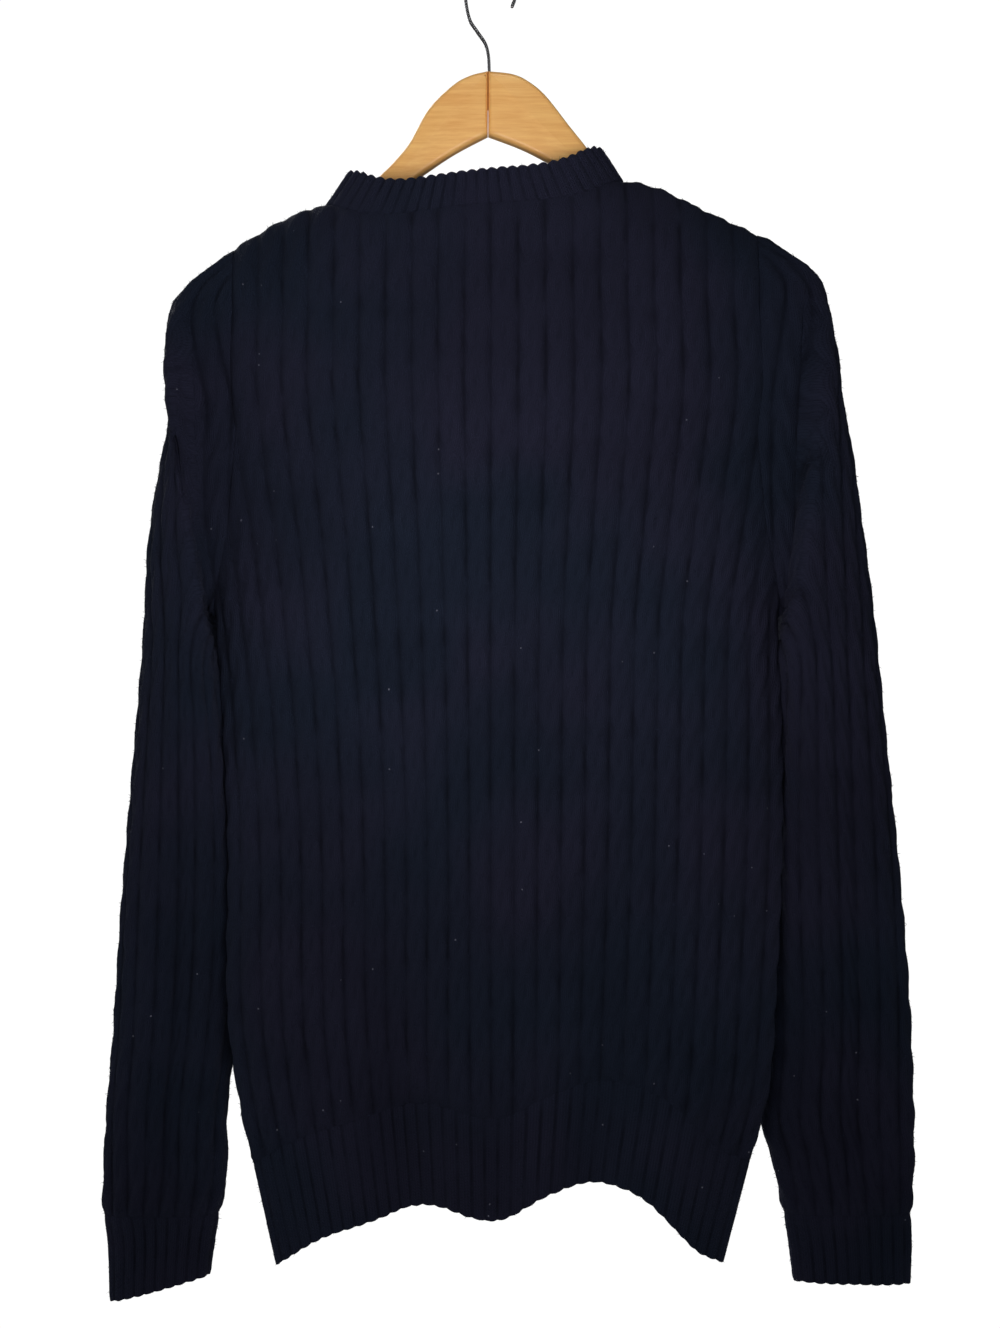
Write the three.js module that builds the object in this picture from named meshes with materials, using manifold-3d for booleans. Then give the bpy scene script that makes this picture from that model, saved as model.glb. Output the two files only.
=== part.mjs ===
// A fine cable knit pullover hanging on a wooden hanger, in millimetres.
// +Z is up, +Y is the garment's back and +X its left. The origin is the inside of the hook's top.
// Every cloth piece is a thin shell: a plain inner surface, an outer one raised into cables or ribs,
// and a rim that joins their edges.
import * as THREE from 'three';
import { mergeVertices } from 'three/addons/utils/BufferGeometryUtils.js';
import Module from 'manifold-3d';

// Cloth.
const WALL = 2;               // thickness between the cables
const CABLE_RELIEF = 1.9;     // how far a cable stands above the cloth
const RIB_RELIEF = 1.3;
const SKIN = WALL + 1.2;      // from the inner surface to the outline that the eye sees
const SEAM_GAP = 0.4;
const RING_GAP = 0.95;        // at a seam where the two edges have different corners
const INNER_STEP = 4;         // the inner surface has one course in this many
const ROLL_STEP = 1.1;        // and one in this many where it curves in to the shoulder

// Cables. Each is a column of crests that lean left and right in turn.
const CABLE_PITCH = 16;
const CROSSING = 15;          // height of half a cable's twist
const TWIST = 0.2;            // how far a crest leans sideways, in cables
const PANEL_CABLES = 13;      // from the middle of a panel to its side seam
const YOKE_CABLES = 10;       // from the middle of a panel to its armhole
const NECK_MIDDLE = 0.75;     // the cable at the middle of the neck, which hangs a little to the left
const NECK_CABLES = 5.75;     // from there to each shoulder seam
const SLEEVE_CABLES = 16;
const SLEEVE_RINGS = 37;
const SCOOP_EASE = 1.5;       // spreads the sleeve's columns evenly round the armhole's curve
const RIB_PITCH = 7.8;

// Shoulders, neck and hem.
const SHOULDER_ROLL = 45;     // height over which the cloth curves in to the shoulder seam
const SHOULDER_LEVEL = -190;  // where the width for the shoulder line is read
const SHOULDER_GAP = 0.3;
const BACK_NECK_DROP = 37;    // along the cloth, below the shoulder line
const FRONT_NECK_DROP = 98;
const BACK_NECK_POWER = 5;    // a higher one makes a squarer neckline
const FRONT_NECK_POWER = 2.6;
const NECK_SPREAD = 8;        // how far the neck opens the panels from front to back
const NECK_SPREAD_WIDE = 1.5; // where that ends, in widths of the neck
const NECK_SPREAD_LOW = -420;
const NECK_SPREAD_RISE = 220;
const NECKBAND_HEIGHT = 22;
const NECKBAND_LEAN = 0.17;   // share of its width that the band draws in by at its top
const LOWEST_COURSE = -780;
const HEM_HEIGHT = 66;
const HEM_GAP = 0.8;
const HEM_CABLE_PITCH = 11.7; // where the ribs draw the cables in
const FRONT_HEM_LIFT = 6;

// The hanger's arms sweep forward and carry the cloth with them.
const SWEEP = 0.1;
const SWEEP_ROUND = 40;
const SWEEP_TOP = -250;
const SWEEP_END = -560;

// Sections of the body over the cables, from the hem's lowest edge up. Above the armholes left and
// right are where a whole section would end, though the panels stop at their armholes.
const BODY = [
  { z: -845, left: 139, right: -151, back: 17, front: 17 },
  { z: -768, left: 156, right: -171, back: 20, front: 20 },
  { z: -724, left: 165, right: -182, back: 22, front: 22 },
  { z: -669, left: 171, right: -186, back: 25, front: 23 },
  { z: -571, left: 170, right: -190, back: 29, front: 25 },
  { z: -474, left: 174, right: -189, back: 36, front: 32 },
  { z: -420, left: 179, right: -188, back: 42, front: 37 },
  { z: -383, left: 186, right: -197, back: 40, front: 36 },
  { z: -328, left: 200, right: -211, back: 36, front: 34 },
  { z: -269, left: 212, right: -224, back: 32, front: 30 },
  { z: -214, left: 213, right: -223, back: 28, front: 27 },
  { z: -100, left: 213, right: -222, back: 24, front: 24 },
];
const SECTION_POWER = 2.5;    // 2 is an ellipse, more is squarer

// The line over the shoulders, from the wearer's right to the left.
const SHOULDER = [
  { x: -240, z: -212 },
  { x: -189, z: -176 },
  { x: -142, z: -154 },
  { x: -97, z: -136 },
  { x: 0, z: -135 },
  { x: 115, z: -152 },
  { x: 151, z: -168 },
  { x: 178, z: -186 },
  { x: 230, z: -226 },
];

// Height of the hem's lower edge, which hangs lowest at the side seams.
const HEM_EDGE = [
  { cable: -13, z: -838 },
  { cable: -11, z: -827 },
  { cable: -8, z: -795 },
  { cable: -5.6, z: -784 },
  { cable: -3, z: -791 },
  { cable: -0.4, z: -806 },
  { cable: 3.2, z: -797 },
  { cable: 6.6, z: -808 },
  { cable: 9.8, z: -820 },
  { cable: 13, z: -840 },
];

// Height at which each column of cables ends in the armhole.
const ARMHOLE = [
  { cable: 10, z: -300 },
  { cable: 11, z: -360 },
  { cable: 12, z: -395 },
  { cable: 13, z: -420 },
];

// Soft folds pressed into a panel: where they run, how wide and deep they are, and between what heights.
const PANEL_FOLDS = [
  { side: 1, cable: -4.6, width: 1.7, depth: 9, low: -860, high: -560 },
  { side: 1, cable: 1.2, width: 1.6, depth: -7, low: -860, high: -620 },
  { side: 1, cable: 5.0, width: 1.6, depth: 8, low: -860, high: -590 },
  { side: 1, cable: -9.5, width: 1.5, depth: -5, low: -860, high: -640 },
  { side: -1, cable: -6, width: 1.8, depth: 6, low: -860, high: -600 },
  { side: -1, cable: 0.5, width: 1.7, depth: -5, low: -860, high: -640 },
  { side: -1, cable: 6.5, width: 1.8, depth: 7, low: -860, high: -570 },
];
const FOLD_GROWTH = 0.5;      // share of a fold's height over which it reaches its depth
const FLAT_CABLES = 9;        // beyond this cable the folds give way to the side seam

// Rings of each sleeve over the cables: its outer and inner line, how far the ring's middle is set
// back, and half its thickness from front to back.
const SLEEVES = {
  left: [
    { outX: 196, outZ: -199, inX: 187, inZ: -408, y: -1, half: 25 },
    { outX: 206, outZ: -214, inX: 188, inZ: -416, y: -1, half: 31 },
    { outX: 209, outZ: -242, inX: 188, inZ: -428, y: 0, half: 37 },
    { outX: 206, outZ: -280, inX: 182, inZ: -443, y: -3, half: 42 },
    { outX: 214, outZ: -320, inX: 178.5, inZ: -466, y: -8, half: 44 },
    { outX: 222, outZ: -370, inX: 176, inZ: -490, y: -14, half: 44 },
    { outX: 226, outZ: -430, inX: 172.5, inZ: -525, y: -20, half: 42 },
    { outX: 234, outZ: -515, inX: 169, inZ: -580, y: -26, half: 36 },
    { outX: 243, outZ: -612, inX: 167, inZ: -645, y: -28, half: 29 },
    { outX: 248, outZ: -690, inX: 170, inZ: -700, y: -26, half: 24 },
    { outX: 252, outZ: -745, inX: 174.5, inZ: -745, y: -22, half: 22 },
    { outX: 254, outZ: -785, inX: 174, inZ: -785, y: -20, half: 18 },
    { outX: 255, outZ: -811, inX: 178, inZ: -811, y: -20, half: 15 },
  ],
  right: [
    { outX: -205, outZ: -186, inX: -196, inZ: -408, y: -1, half: 25 },
    { outX: -216, outZ: -201, inX: -197, inZ: -416, y: -1, half: 31 },
    { outX: -223, outZ: -234, inX: -197, inZ: -428, y: 0, half: 37 },
    { outX: -228, outZ: -270, inX: -191.5, inZ: -444, y: -3, half: 41 },
    { outX: -236, outZ: -312, inX: -191, inZ: -468, y: -8, half: 42 },
    { outX: -244, outZ: -365, inX: -191, inZ: -490, y: -14, half: 41 },
    { outX: -252, outZ: -425, inX: -189.5, inZ: -525, y: -20, half: 38 },
    { outX: -261, outZ: -510, inX: -187.5, inZ: -580, y: -26, half: 32 },
    { outX: -270, outZ: -590, inX: -186, inZ: -640, y: -28, half: 25 },
    { outX: -277, outZ: -670, inX: -184, inZ: -700, y: -27, half: 18 },
    { outX: -280, outZ: -735, inX: -178, inZ: -748, y: -24, half: 14 },
    { outX: -280, outZ: -778, inX: -186, inZ: -778, y: -22, half: 13 },
    { outX: -278, outZ: -811, inX: -193, inZ: -811, y: -22, half: 14 },
  ],
};

// Lengthwise folds of the sleeves, placed round the ring in cables from the outer line, the back first.
const SLEEVE_FOLDS = [
  { side: 'left', cable: 4.2, width: 1.1, depth: 7, low: -800, high: -480 },
  { side: 'left', cable: 11.5, width: 1.2, depth: 5, low: -800, high: -560 },
  { side: 'right', cable: 3.4, width: 0.9, depth: 5, low: -790, high: -380 },
  { side: 'right', cable: 12.4, width: 1.2, depth: 4, low: -800, high: -520 },
];
const CUFF_SEAM = -811;
const FOLD_EASE = 60;         // the folds of a sleeve fade out over this height above its cuff

// Rings of each cuff, from its seam to its edge.
const CUFFS = {
  left: [
    { outX: 255, outZ: -811, inX: 178, inZ: -811, half: 15 },
    { outX: 252.5, outZ: -832, inX: 181, inZ: -830, half: 12.5 },
    { outX: 251, outZ: -869, inX: 184, inZ: -850, half: 14 },
  ],
  right: [
    { outX: -278, outZ: -811, inX: -193, inZ: -811, half: 14 },
    { outX: -279, outZ: -832, inX: -196, inZ: -832, half: 12 },
    { outX: -278, outZ: -857, inX: -199, inZ: -855, half: 13 },
  ],
};
const CUFF_Y = { left: -20, right: -22 };

// Hanger.
const WOOD_THICK = 12.6;
const WOOD_ROUND = 2.6;
const BEVEL_STEPS = 2;
const JOINT_X = 1.3;
const JOINT_GAP = 0.3;
const HUMP_TOP = [
  { x: -70, z: -124 }, { x: -61, z: -112 }, { x: -52, z: -101 }, { x: -36, z: -81 },
  { x: -25, z: -72 }, { x: -15, z: -67.5 }, { x: 1.3, z: -65.6 }, { x: 13, z: -68.5 },
  { x: 24, z: -74.5 }, { x: 40, z: -90 }, { x: 52, z: -111 }, { x: 60, z: -121 }, { x: 70, z: -131 },
];
const NOTCH_TOP = { x: 1.3, z: -107 };
const NOTCH_LEFT = { x: 47, z: -134 };
const NOTCH_RIGHT = { x: -45, z: -127.5 };
// The top of each arm, below the inner surface of the shoulder line.
const ARM_TOP = {
  left: [{ x: 98, drop: 3.4 }, { x: 124, drop: 3.4 }, { x: 148, drop: 4.5 }, { x: 168, drop: 7.4 }],
  right: [{ x: -84, drop: 4 }, { x: -112, drop: 3.4 }, { x: -146, drop: 4.5 }, { x: -176, drop: 7.4 }],
};
const TIP_ANGLES = [62, 30, 0, -30, -60, -95];   // degrees round the end of an arm
const ARM_TIP = {
  left: { x: 186, z: -216.5, r: 11 },
  right: { x: -196, z: -206.5, r: 11 },
};
const ARM_LOW = {
  left: [{ x: 160, z: -214 }, { x: 110, z: -186 }],
  right: [{ x: -170, z: -203 }, { x: -110, z: -171 }],
};

// Hook: a wire up from the joint, leaning over and round its top.
const WIRE = 2.4;
const HOOK_BEND = 15;         // inside radius, with its top at the origin
const SHANK_X = 0.7;
const SHANK_END = -90;
const SHANK = [
  { x: SHANK_X, z: SHANK_END }, { x: SHANK_X, z: -76 }, { x: SHANK_X, z: -64 }, { x: 1.3, z: -54 },
  { x: 3.4, z: -46.5 }, { x: 8.4, z: -39 }, { x: 13.4, z: -31 },
];
const HOOK_ARC = [-8, 20, 48, 76, 104, 132, 160, 188, 208];   // degrees round the bend
const WIRE_STEPS = 48;
const WIRE_SIDES = 5;         // to each half of its section
const BORE_CLEARANCE = 0.35;
const BORE_SIDES = 12;
const BORE_LENGTH = 40;

const wasm = await Module();
wasm.setup();

const clamp01 = (t) => Math.min(1, Math.max(0, t));
const smooth = (t) => clamp01(t) ** 2 * (3 - 2 * clamp01(t));

// Reads a column of a table at a value of another column, on a smooth curve through its rows.
function read(table, key, at, column) {
  const rising = table[table.length - 1][key] > table[0][key];
  let i = 0;
  while (i < table.length - 2 && (rising ? at > table[i + 1][key] : at < table[i + 1][key])) i++;
  const a = table[i];
  const b = table[i + 1];
  const t = clamp01((at - a[key]) / (b[key] - a[key]));
  const slope = (k) => {
    const lo = table[Math.max(0, k - 1)];
    const hi = table[Math.min(table.length - 1, k + 1)];
    return (hi[column] - lo[column]) / (hi[key] - lo[key]);
  };
  const span = b[key] - a[key];
  const near = 2 * t ** 3 - 3 * t ** 2 + 1;
  const leaving = (t ** 3 - 2 * t ** 2 + t) * span * slope(i);
  const arriving = (t ** 3 - t ** 2) * span * slope(i + 1);
  return near * a[column] + leaving + (1 - near) * b[column] + arriving;
}

// A point of a quarter superellipse a wide and b deep, at a share of its arc length from the middle.
const QUARTER_STEPS = 64;
function quarter(a, b, share) {
  const power = 2 / SECTION_POWER;
  const points = Array.from({ length: QUARTER_STEPS + 1 }, (_, i) => {
    const angle = (i / QUARTER_STEPS) * Math.PI / 2;
    return new THREE.Vector2(a * Math.sin(angle) ** power, b * Math.cos(angle) ** power);
  });
  const lengths = [0];
  for (let i = 1; i <= QUARTER_STEPS; i++) lengths.push(lengths[i - 1] + points[i].distanceTo(points[i - 1]));
  const want = clamp01(share) * lengths[QUARTER_STEPS];
  let i = 1;
  while (i < QUARTER_STEPS && lengths[i] < want) i++;
  const t = (want - lengths[i - 1]) / (lengths[i] - lengths[i - 1]);
  return points[i - 1].clone().lerp(points[i], clamp01(t));
}

// How far the hanger carries a point forward.
function swept(p) {
  const ramp = smooth((p.z - SWEEP_END) / (SWEEP_TOP - SWEEP_END));
  return new THREE.Vector3(p.x, p.y - SWEEP * (Math.hypot(p.x, SWEEP_ROUND) - SWEEP_ROUND) * ramp, p.z);
}

function foldDepth(folds, test, cable, z) {
  let depth = 0;
  for (const f of folds) {
    if (!test(f)) continue;
    const across = Math.exp(-(((cable - f.cable) / f.width) ** 2));
    const along = smooth((f.high - z) / (f.high - f.low) / FOLD_GROWTH);
    depth += f.depth * across * along;
  }
  return depth;
}

// The section's own point for a cable at a height, side 1 being the back and -1 the front.
function sectionPoint(side, cable, z) {
  const wide = cable >= 0 ? read(BODY, 'z', z, 'left') - SKIN : -read(BODY, 'z', z, 'right') - SKIN;
  const deep = read(BODY, 'z', z, side > 0 ? 'back' : 'front') - SKIN;
  const q = quarter(wide, deep, Math.abs(cable) / PANEL_CABLES);
  const flat = smooth((Math.abs(cable) - FLAT_CABLES) / (PANEL_CABLES - FLAT_CABLES));
  const fold = foldDepth(PANEL_FOLDS, (f) => f.side === side, cable, z) * (1 - flat);
  const near = smooth(NECK_SPREAD_WIDE - Math.abs(cable - NECK_MIDDLE) / NECK_CABLES);
  const neck = near * smooth((z - NECK_SPREAD_LOW) / NECK_SPREAD_RISE);
  return new THREE.Vector3(Math.sign(cable) * q.x, side * (q.y - fold + NECK_SPREAD * neck), z);
}

function rollStart(cable) {
  const x = sectionPoint(1, cable, SHOULDER_LEVEL).x;
  return read(SHOULDER, 'x', x, 'z') - SKIN - SHOULDER_ROLL;
}

function rollLength(side, cable) {
  const deep = Math.abs(sectionPoint(side, cable, rollStart(cable)).y);
  const a = SHOULDER_ROLL;
  return Math.PI / 4 * (3 * (a + deep) - Math.sqrt((3 * a + deep) * (a + 3 * deep)));
}

// A panel's inner surface: straight up the section, then curving in to the shoulder seam.
function panelBase(side, cable, height) {
  const start = rollStart(cable);
  if (height <= start) return sectionPoint(side, cable, height);
  const low = sectionPoint(side, cable, start);
  const angle = Math.min(1, (height - start) / rollLength(side, cable)) * Math.PI / 2;
  return new THREE.Vector3(low.x, low.y * Math.cos(angle), start + SHOULDER_ROLL * Math.sin(angle));
}

function offsetPoint(base, u, v, du, dv, out) {
  const across = base(u + du, v).sub(base(u - du, v));
  const up = base(u, v + dv).sub(base(u, v - dv));
  const normal = across.cross(up).normalize();
  return base(u, v).addScaledVector(normal, out);
}

// Small steps, in cables and in millimetres, that give the slope of a panel.
const CABLE_STEP = 0.015;
const HEIGHT_STEP = 0.25;

// A point at a distance out from a panel's inner surface.
function panelPoint(side, cable, height, out) {
  const edge = PANEL_CABLES - CABLE_STEP;
  const c = Math.max(-edge, Math.min(edge, cable));
  const top = rollStart(c) + rollLength(side, c) - SHOULDER_GAP;
  const base = (u, v) => panelBase(side, u, v);
  return offsetPoint(base, c, Math.min(height, top), -CABLE_STEP * side, HEIGHT_STEP, out);
}

function panelTop(side, cable) {
  const c = Math.abs(cable);
  if (c > YOKE_CABLES) return read(ARMHOLE, 'cable', c, 'z');
  const ridge = rollStart(cable) + rollLength(side, cable);
  const across = Math.min(1, Math.abs(cable - NECK_MIDDLE) / NECK_CABLES);
  const drop = side > 0 ? BACK_NECK_DROP : FRONT_NECK_DROP;
  const power = side > 0 ? BACK_NECK_POWER : FRONT_NECK_POWER;
  return ridge - drop * (1 - across ** power);
}

function hemEdge(side, cable) {
  const lift = side > 0 ? 0 : FRONT_HEM_LIFT * (1 - (cable / PANEL_CABLES) ** 2);
  return read(HEM_EDGE, 'cable', cable, 'z') + lift;
}

// Keeps the two panels a seam apart where they meet in the plane between them.
function seamed(side, p) {
  const y = side > 0 ? Math.max(p.y, SEAM_GAP / 2) : Math.min(p.y, -SEAM_GAP / 2);
  return new THREE.Vector3(p.x, y, p.z);
}

// Joins neighbouring columns of points, listed by their height, into faces.
function zipColumns(columns, closed, longest) {
  const points = [];
  const faces = [];
  const ids = columns.map((column) => column.map((v) => points.push(v.p) - 1));
  const count = closed ? columns.length : columns.length - 1;
  for (let k = 0; k < count; k++) {
    const next = (k + 1) % columns.length;
    const [A, B, a, b] = [columns[k], columns[next], ids[k], ids[next]];
    let i = 0;
    let j = 0;
    while (i < A.length - 1 || j < B.length - 1) {
      const upA = i < A.length - 1 ? A[i + 1].h : Infinity;
      const upB = j < B.length - 1 ? B[j + 1].h : Infinity;
      if (upA === Infinity && upB - A[i].h > longest) break;
      if (upB === Infinity && upA - B[j].h > longest) break;
      if (upA <= upB) {
        faces.push([a[i], b[j], a[i + 1]]);
        i++;
      } else {
        faces.push([a[i], b[j], b[j + 1]]);
        j++;
      }
    }
  }
  return { points, faces };
}

// The open edges of a surface, as loops in the order of its faces.
function edgeLoops(surface) {
  const next = new Map();
  const seen = new Set(surface.faces.flatMap((f) => f.map((v, i) => v + ' ' + f[(i + 1) % 3])));
  for (const f of surface.faces) {
    f.forEach((v, i) => {
      const w = f[(i + 1) % 3];
      if (!seen.has(w + ' ' + v)) next.set(v, w);
    });
  }
  const loops = [];
  while (next.size) {
    const start = next.keys().next().value;
    const loop = [];
    let v = start;
    do {
      loop.push(v);
      const w = next.get(v);
      next.delete(v);
      v = w;
    } while (v !== start && v !== undefined);
    loops.push(loop);
  }
  return loops;
}

function middle(points) {
  return points.reduce((sum, p) => sum.add(p), new THREE.Vector3()).divideScalar(points.length);
}

// Closes an outer and an inner surface, both facing out, into one solid.
function shell(outer, inner) {
  const shift = outer.points.length;
  const points = outer.points.concat(inner.points);
  const faces = outer.faces.concat(inner.faces.map(([a, b, c]) => [a + shift, c + shift, b + shift]));
  const innerLoops = edgeLoops(inner);
  for (const loop of edgeLoops(outer)) {
    const centre = middle(loop.map((v) => outer.points[v]));
    const away = (other) => middle(other.map((v) => inner.points[v])).distanceTo(centre);
    const partner = innerLoops.reduce((best, other) => (away(other) < away(best) ? other : best));
    faces.push(...rimFaces(points, loop, partner.map((v) => v + shift)));
  }
  return solidGeometry(points, faces);
}

// Faces between two loops that run side by side, always across the shorter way.
function rimFaces(points, outer, inner) {
  const faces = [];
  const away = (i, j) => points[outer[i % outer.length]].distanceTo(points[inner[j % inner.length]]);
  let first = 0;
  for (let j = 1; j < inner.length; j++) if (away(0, j) < away(0, first)) first = j;
  let i = 0;
  let j = 0;
  while (i < outer.length || j < inner.length) {
    const o = outer[i % outer.length];
    const n = inner[(first + j) % inner.length];
    const shorter = away(i + 1, first + j) <= away(i, first + j + 1);
    if (j >= inner.length || (i < outer.length && shorter)) {
      faces.push([outer[(i + 1) % outer.length], o, n]);
      i++;
    } else {
      faces.push([n, inner[(first + j + 1) % inner.length], o]);
      j++;
    }
  }
  return faces;
}

function solidGeometry(points, faces) {
  const geometry = new THREE.BufferGeometry();
  const flat = points.map(swept).flatMap((p) => [p.x, p.y, p.z]);
  geometry.setAttribute('position', new THREE.Float32BufferAttribute(flat, 3));
  geometry.setIndex(faces.flat());
  geometry.computeVertexNormals();
  return geometry;
}

// Sideways lean of a cable's crest at a crossing.
const crestLean = (course) => (course % 2 ? TWIST : -TWIST);

// Heights of a column's points from the bottom to the top, on courses that all columns share. A
// course closer to either end than this share of a step is left out.
const CLOSEST = 0.4;
function heightsOf(bottom, top, step, start) {
  const heights = [bottom];
  for (let h = start + step; h < top - step * CLOSEST; h += step) {
    if (h > bottom + step * CLOSEST) heights.push(h);
  }
  heights.push(top);
  return heights;
}

function panelOuter(side) {
  const columns = [];
  for (let k = -2 * PANEL_CABLES; k <= 2 * PANEL_CABLES; k++) {
    const cable = k / 2;
    const crest = k % 2 !== 0;
    const top = panelTop(side, cable);
    const bottom = hemEdge(side, cable) + HEM_HEIGHT;
    const heights = heightsOf(bottom, top, crest ? CROSSING : 2 * CROSSING, LOWEST_COURSE);
    const column = heights.map((h, i) => {
      const open = i > 0 && i < heights.length - 1;
      const lean = crest && open ? crestLean(Math.round((h - LOWEST_COURSE) / CROSSING)) : 0;
      const out = WALL + (crest ? CABLE_RELIEF : 0);
      return { h, p: seamed(side, panelPoint(side, cable + lean, h, out)) };
    });
    columns.push(column);
  }
  return zipColumns(side > 0 ? columns.reverse() : columns, false, 3 * CROSSING);
}

function panelInner(side) {
  const columns = [];
  for (let cable = -PANEL_CABLES; cable <= PANEL_CABLES; cable++) {
    const top = panelTop(side, cable);
    const straight = Math.min(rollStart(cable), top);
    const bottom = hemEdge(side, cable) + HEM_HEIGHT;
    const heights = heightsOf(bottom, straight, INNER_STEP * CROSSING, LOWEST_COURSE);
    if (top > straight + 1) {
      const steps = Math.ceil((top - straight) / (ROLL_STEP * CROSSING));
      for (let i = 1; i <= steps; i++) heights.push(straight + ((top - straight) * i) / steps);
    }
    columns.push(heights.map((h) => ({ h, p: seamed(side, panelPoint(side, cable, h, 0)) })));
  }
  return zipColumns(side > 0 ? columns.reverse() : columns, false, INNER_STEP * CROSSING);
}

// Cable and height along an armhole's edge, from the shoulder (0) to the underarm (1).
function armholePlace(side, left, share) {
  const top = panelTop(side, left * YOKE_CABLES);
  const straight = top - ARMHOLE[0].z;
  const scoop = Math.hypot(ARMHOLE[0].z - ARMHOLE[3].z, CABLE_PITCH * (PANEL_CABLES - YOKE_CABLES));
  const turn = straight / (straight + scoop);
  if (share <= turn) return { cable: YOKE_CABLES, h: top - straight * (share / turn) };
  const cable = YOKE_CABLES + (PANEL_CABLES - YOKE_CABLES) * ((share - turn) / (1 - turn)) ** SCOOP_EASE;
  return { cable, h: read(ARMHOLE, 'cable', cable, 'z') };
}

// The sleeve's own edge there, a gap away from the panel in the cloth's surface.
const ARMHOLE_STEP = 0.02;
function armholePoint(side, left, share, out) {
  const at = armholePlace(side, left, share);
  const before = armholePlace(side, left, Math.max(0, share - ARMHOLE_STEP));
  const after = armholePlace(side, left, Math.min(1, share + ARMHOLE_STEP));
  const across = (after.cable - before.cable) * CABLE_PITCH;
  const down = before.h - after.h;
  const long = Math.hypot(across, down);
  const cable = at.cable + ((down / long) * RING_GAP) / CABLE_PITCH;
  const h = at.h + (across / long) * RING_GAP;
  return panelPoint(side, left * cable, h, out);
}

// A ring of a sleeve or cuff: a squared ellipse between its outer and inner line.
function ringPoint(ring, turn, shrink) {
  const angle = turn * 2 * Math.PI;
  const out = new THREE.Vector3(ring.outX, ring.y, ring.outZ);
  const inn = new THREE.Vector3(ring.inX, ring.y, ring.inZ);
  const centre = out.clone().add(inn).multiplyScalar(0.5);
  const reach = out.clone().sub(inn).multiplyScalar(0.5);
  reach.setLength(reach.length() - shrink);
  const power = 2 / SECTION_POWER;
  const cos = Math.sign(Math.cos(angle)) * Math.abs(Math.cos(angle)) ** power;
  const sin = Math.sign(Math.sin(angle)) * Math.abs(Math.sin(angle)) ** power;
  return centre.addScaledVector(reach, cos).add(new THREE.Vector3(0, (ring.half - shrink) * sin, 0));
}

// Points evenly spaced along a closed path, whose last point is its first.
function evenly(path, count) {
  const lengths = [0];
  for (let i = 1; i < path.length; i++) lengths.push(lengths[i - 1] + path[i].distanceTo(path[i - 1]));
  return Array.from({ length: count }, (_, k) => {
    const want = (k / count) * lengths[path.length - 1];
    let i = 1;
    while (i < path.length - 1 && lengths[i] < want) i++;
    const t = clamp01((want - lengths[i - 1]) / (lengths[i] - lengths[i - 1]));
    return path[i - 1].clone().lerp(path[i], t);
  });
}

function ringLength(ring) {
  return ring.reduce((sum, p, i) => sum + p.distanceTo(ring[(i + 1) % ring.length]), 0);
}

// Spreads a ring's columns evenly along its outline.
const RING_SAMPLES = 144;
function evenRing(ring, count, shrink) {
  const loop = Array.from({ length: RING_SAMPLES + 1 }, (_, i) => ringPoint(ring, i / RING_SAMPLES, shrink));
  return evenly(loop, count);
}

function tableRing(rows, t) {
  const indexed = rows.map((row, i) => ({ ...row, i }));
  const ring = {};
  for (const column of Object.keys(rows[0])) ring[column] = read(indexed, 'i', t, column);
  return ring;
}

// The sleeve's first ring, on the armhole's edge.
function armholeRing(side, columns, out) {
  const left = side === 'left' ? 1 : -1;
  return Array.from({ length: columns }, (_, k) => {
    const turn = k / columns;
    return turn <= 0.5 ? armholePoint(1, left, turn * 2, out) : armholePoint(-1, left, 2 - turn * 2, out);
  });
}

// The sleeve's inner rings, from its armhole to its cuff seam.
function sleeveRings(side, count, columns) {
  const rows = SLEEVES[side];
  const armhole = armholeRing(side, columns, 0);
  const rings = [armhole];
  for (let r = 1; r < count; r++) {
    const t = (r / (count - 1)) * rows.length - 1;
    const even = evenRing(tableRing(rows, Math.max(0, t)), columns, SKIN);
    const settle = t < 0 ? t + 1 : 1;
    rings.push(even.map((p, k) => {
      const cable = (k / columns) * SLEEVE_CABLES;
      const fold = foldDepth(SLEEVE_FOLDS, (f) => f.side === side, cable, p.z);
      const depth = fold * smooth((p.z - CUFF_SEAM) / FOLD_EASE);
      p.y -= (k < columns / 2 ? 1 : -1) * depth;
      return armhole[k].clone().lerp(p, settle);
    }));
  }
  return rings;
}

const nothing = () => 0;
const never = () => false;
const always = () => true;

// Turns rings of inner points into columns of raised points. A level ring is raised sideways only,
// and seam gives the raised points of the first ring.
function tubeSurface(rings, { turn, out = nothing, lean = nothing, keep = always, level = never, seam }) {
  const count = rings[0].length;
  const columns = [];
  for (let k = 0; k < count; k++) {
    const column = [];
    for (let r = 0; r < rings.length; r++) {
      if (!keep(k, r)) continue;
      const before = rings[r][(k + count - 1) % count];
      const after = rings[r][(k + 1) % count];
      const above = rings[Math.max(0, r - 1)][k];
      const below = rings[Math.min(rings.length - 1, r + 1)][k];
      const normal = after.clone().sub(before).cross(below.clone().sub(above));
      if (level(r)) normal.z = 0;
      const side = lean(k, r);
      const p = rings[r][k].clone().lerp(side > 0 ? after : before, Math.abs(side));
      const raised = p.addScaledVector(normal.normalize(), turn * out(k, r));
      column.push({ h: -r, p: r === 0 && seam ? seam[k] : raised });
    }
    columns.push(column.reverse());
  }
  return zipColumns(turn > 0 ? columns.reverse() : columns, true, Infinity);
}

const everyOther = (rings) => rings.map((ring) => ring.filter((_, k) => k % 2 === 0));

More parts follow.
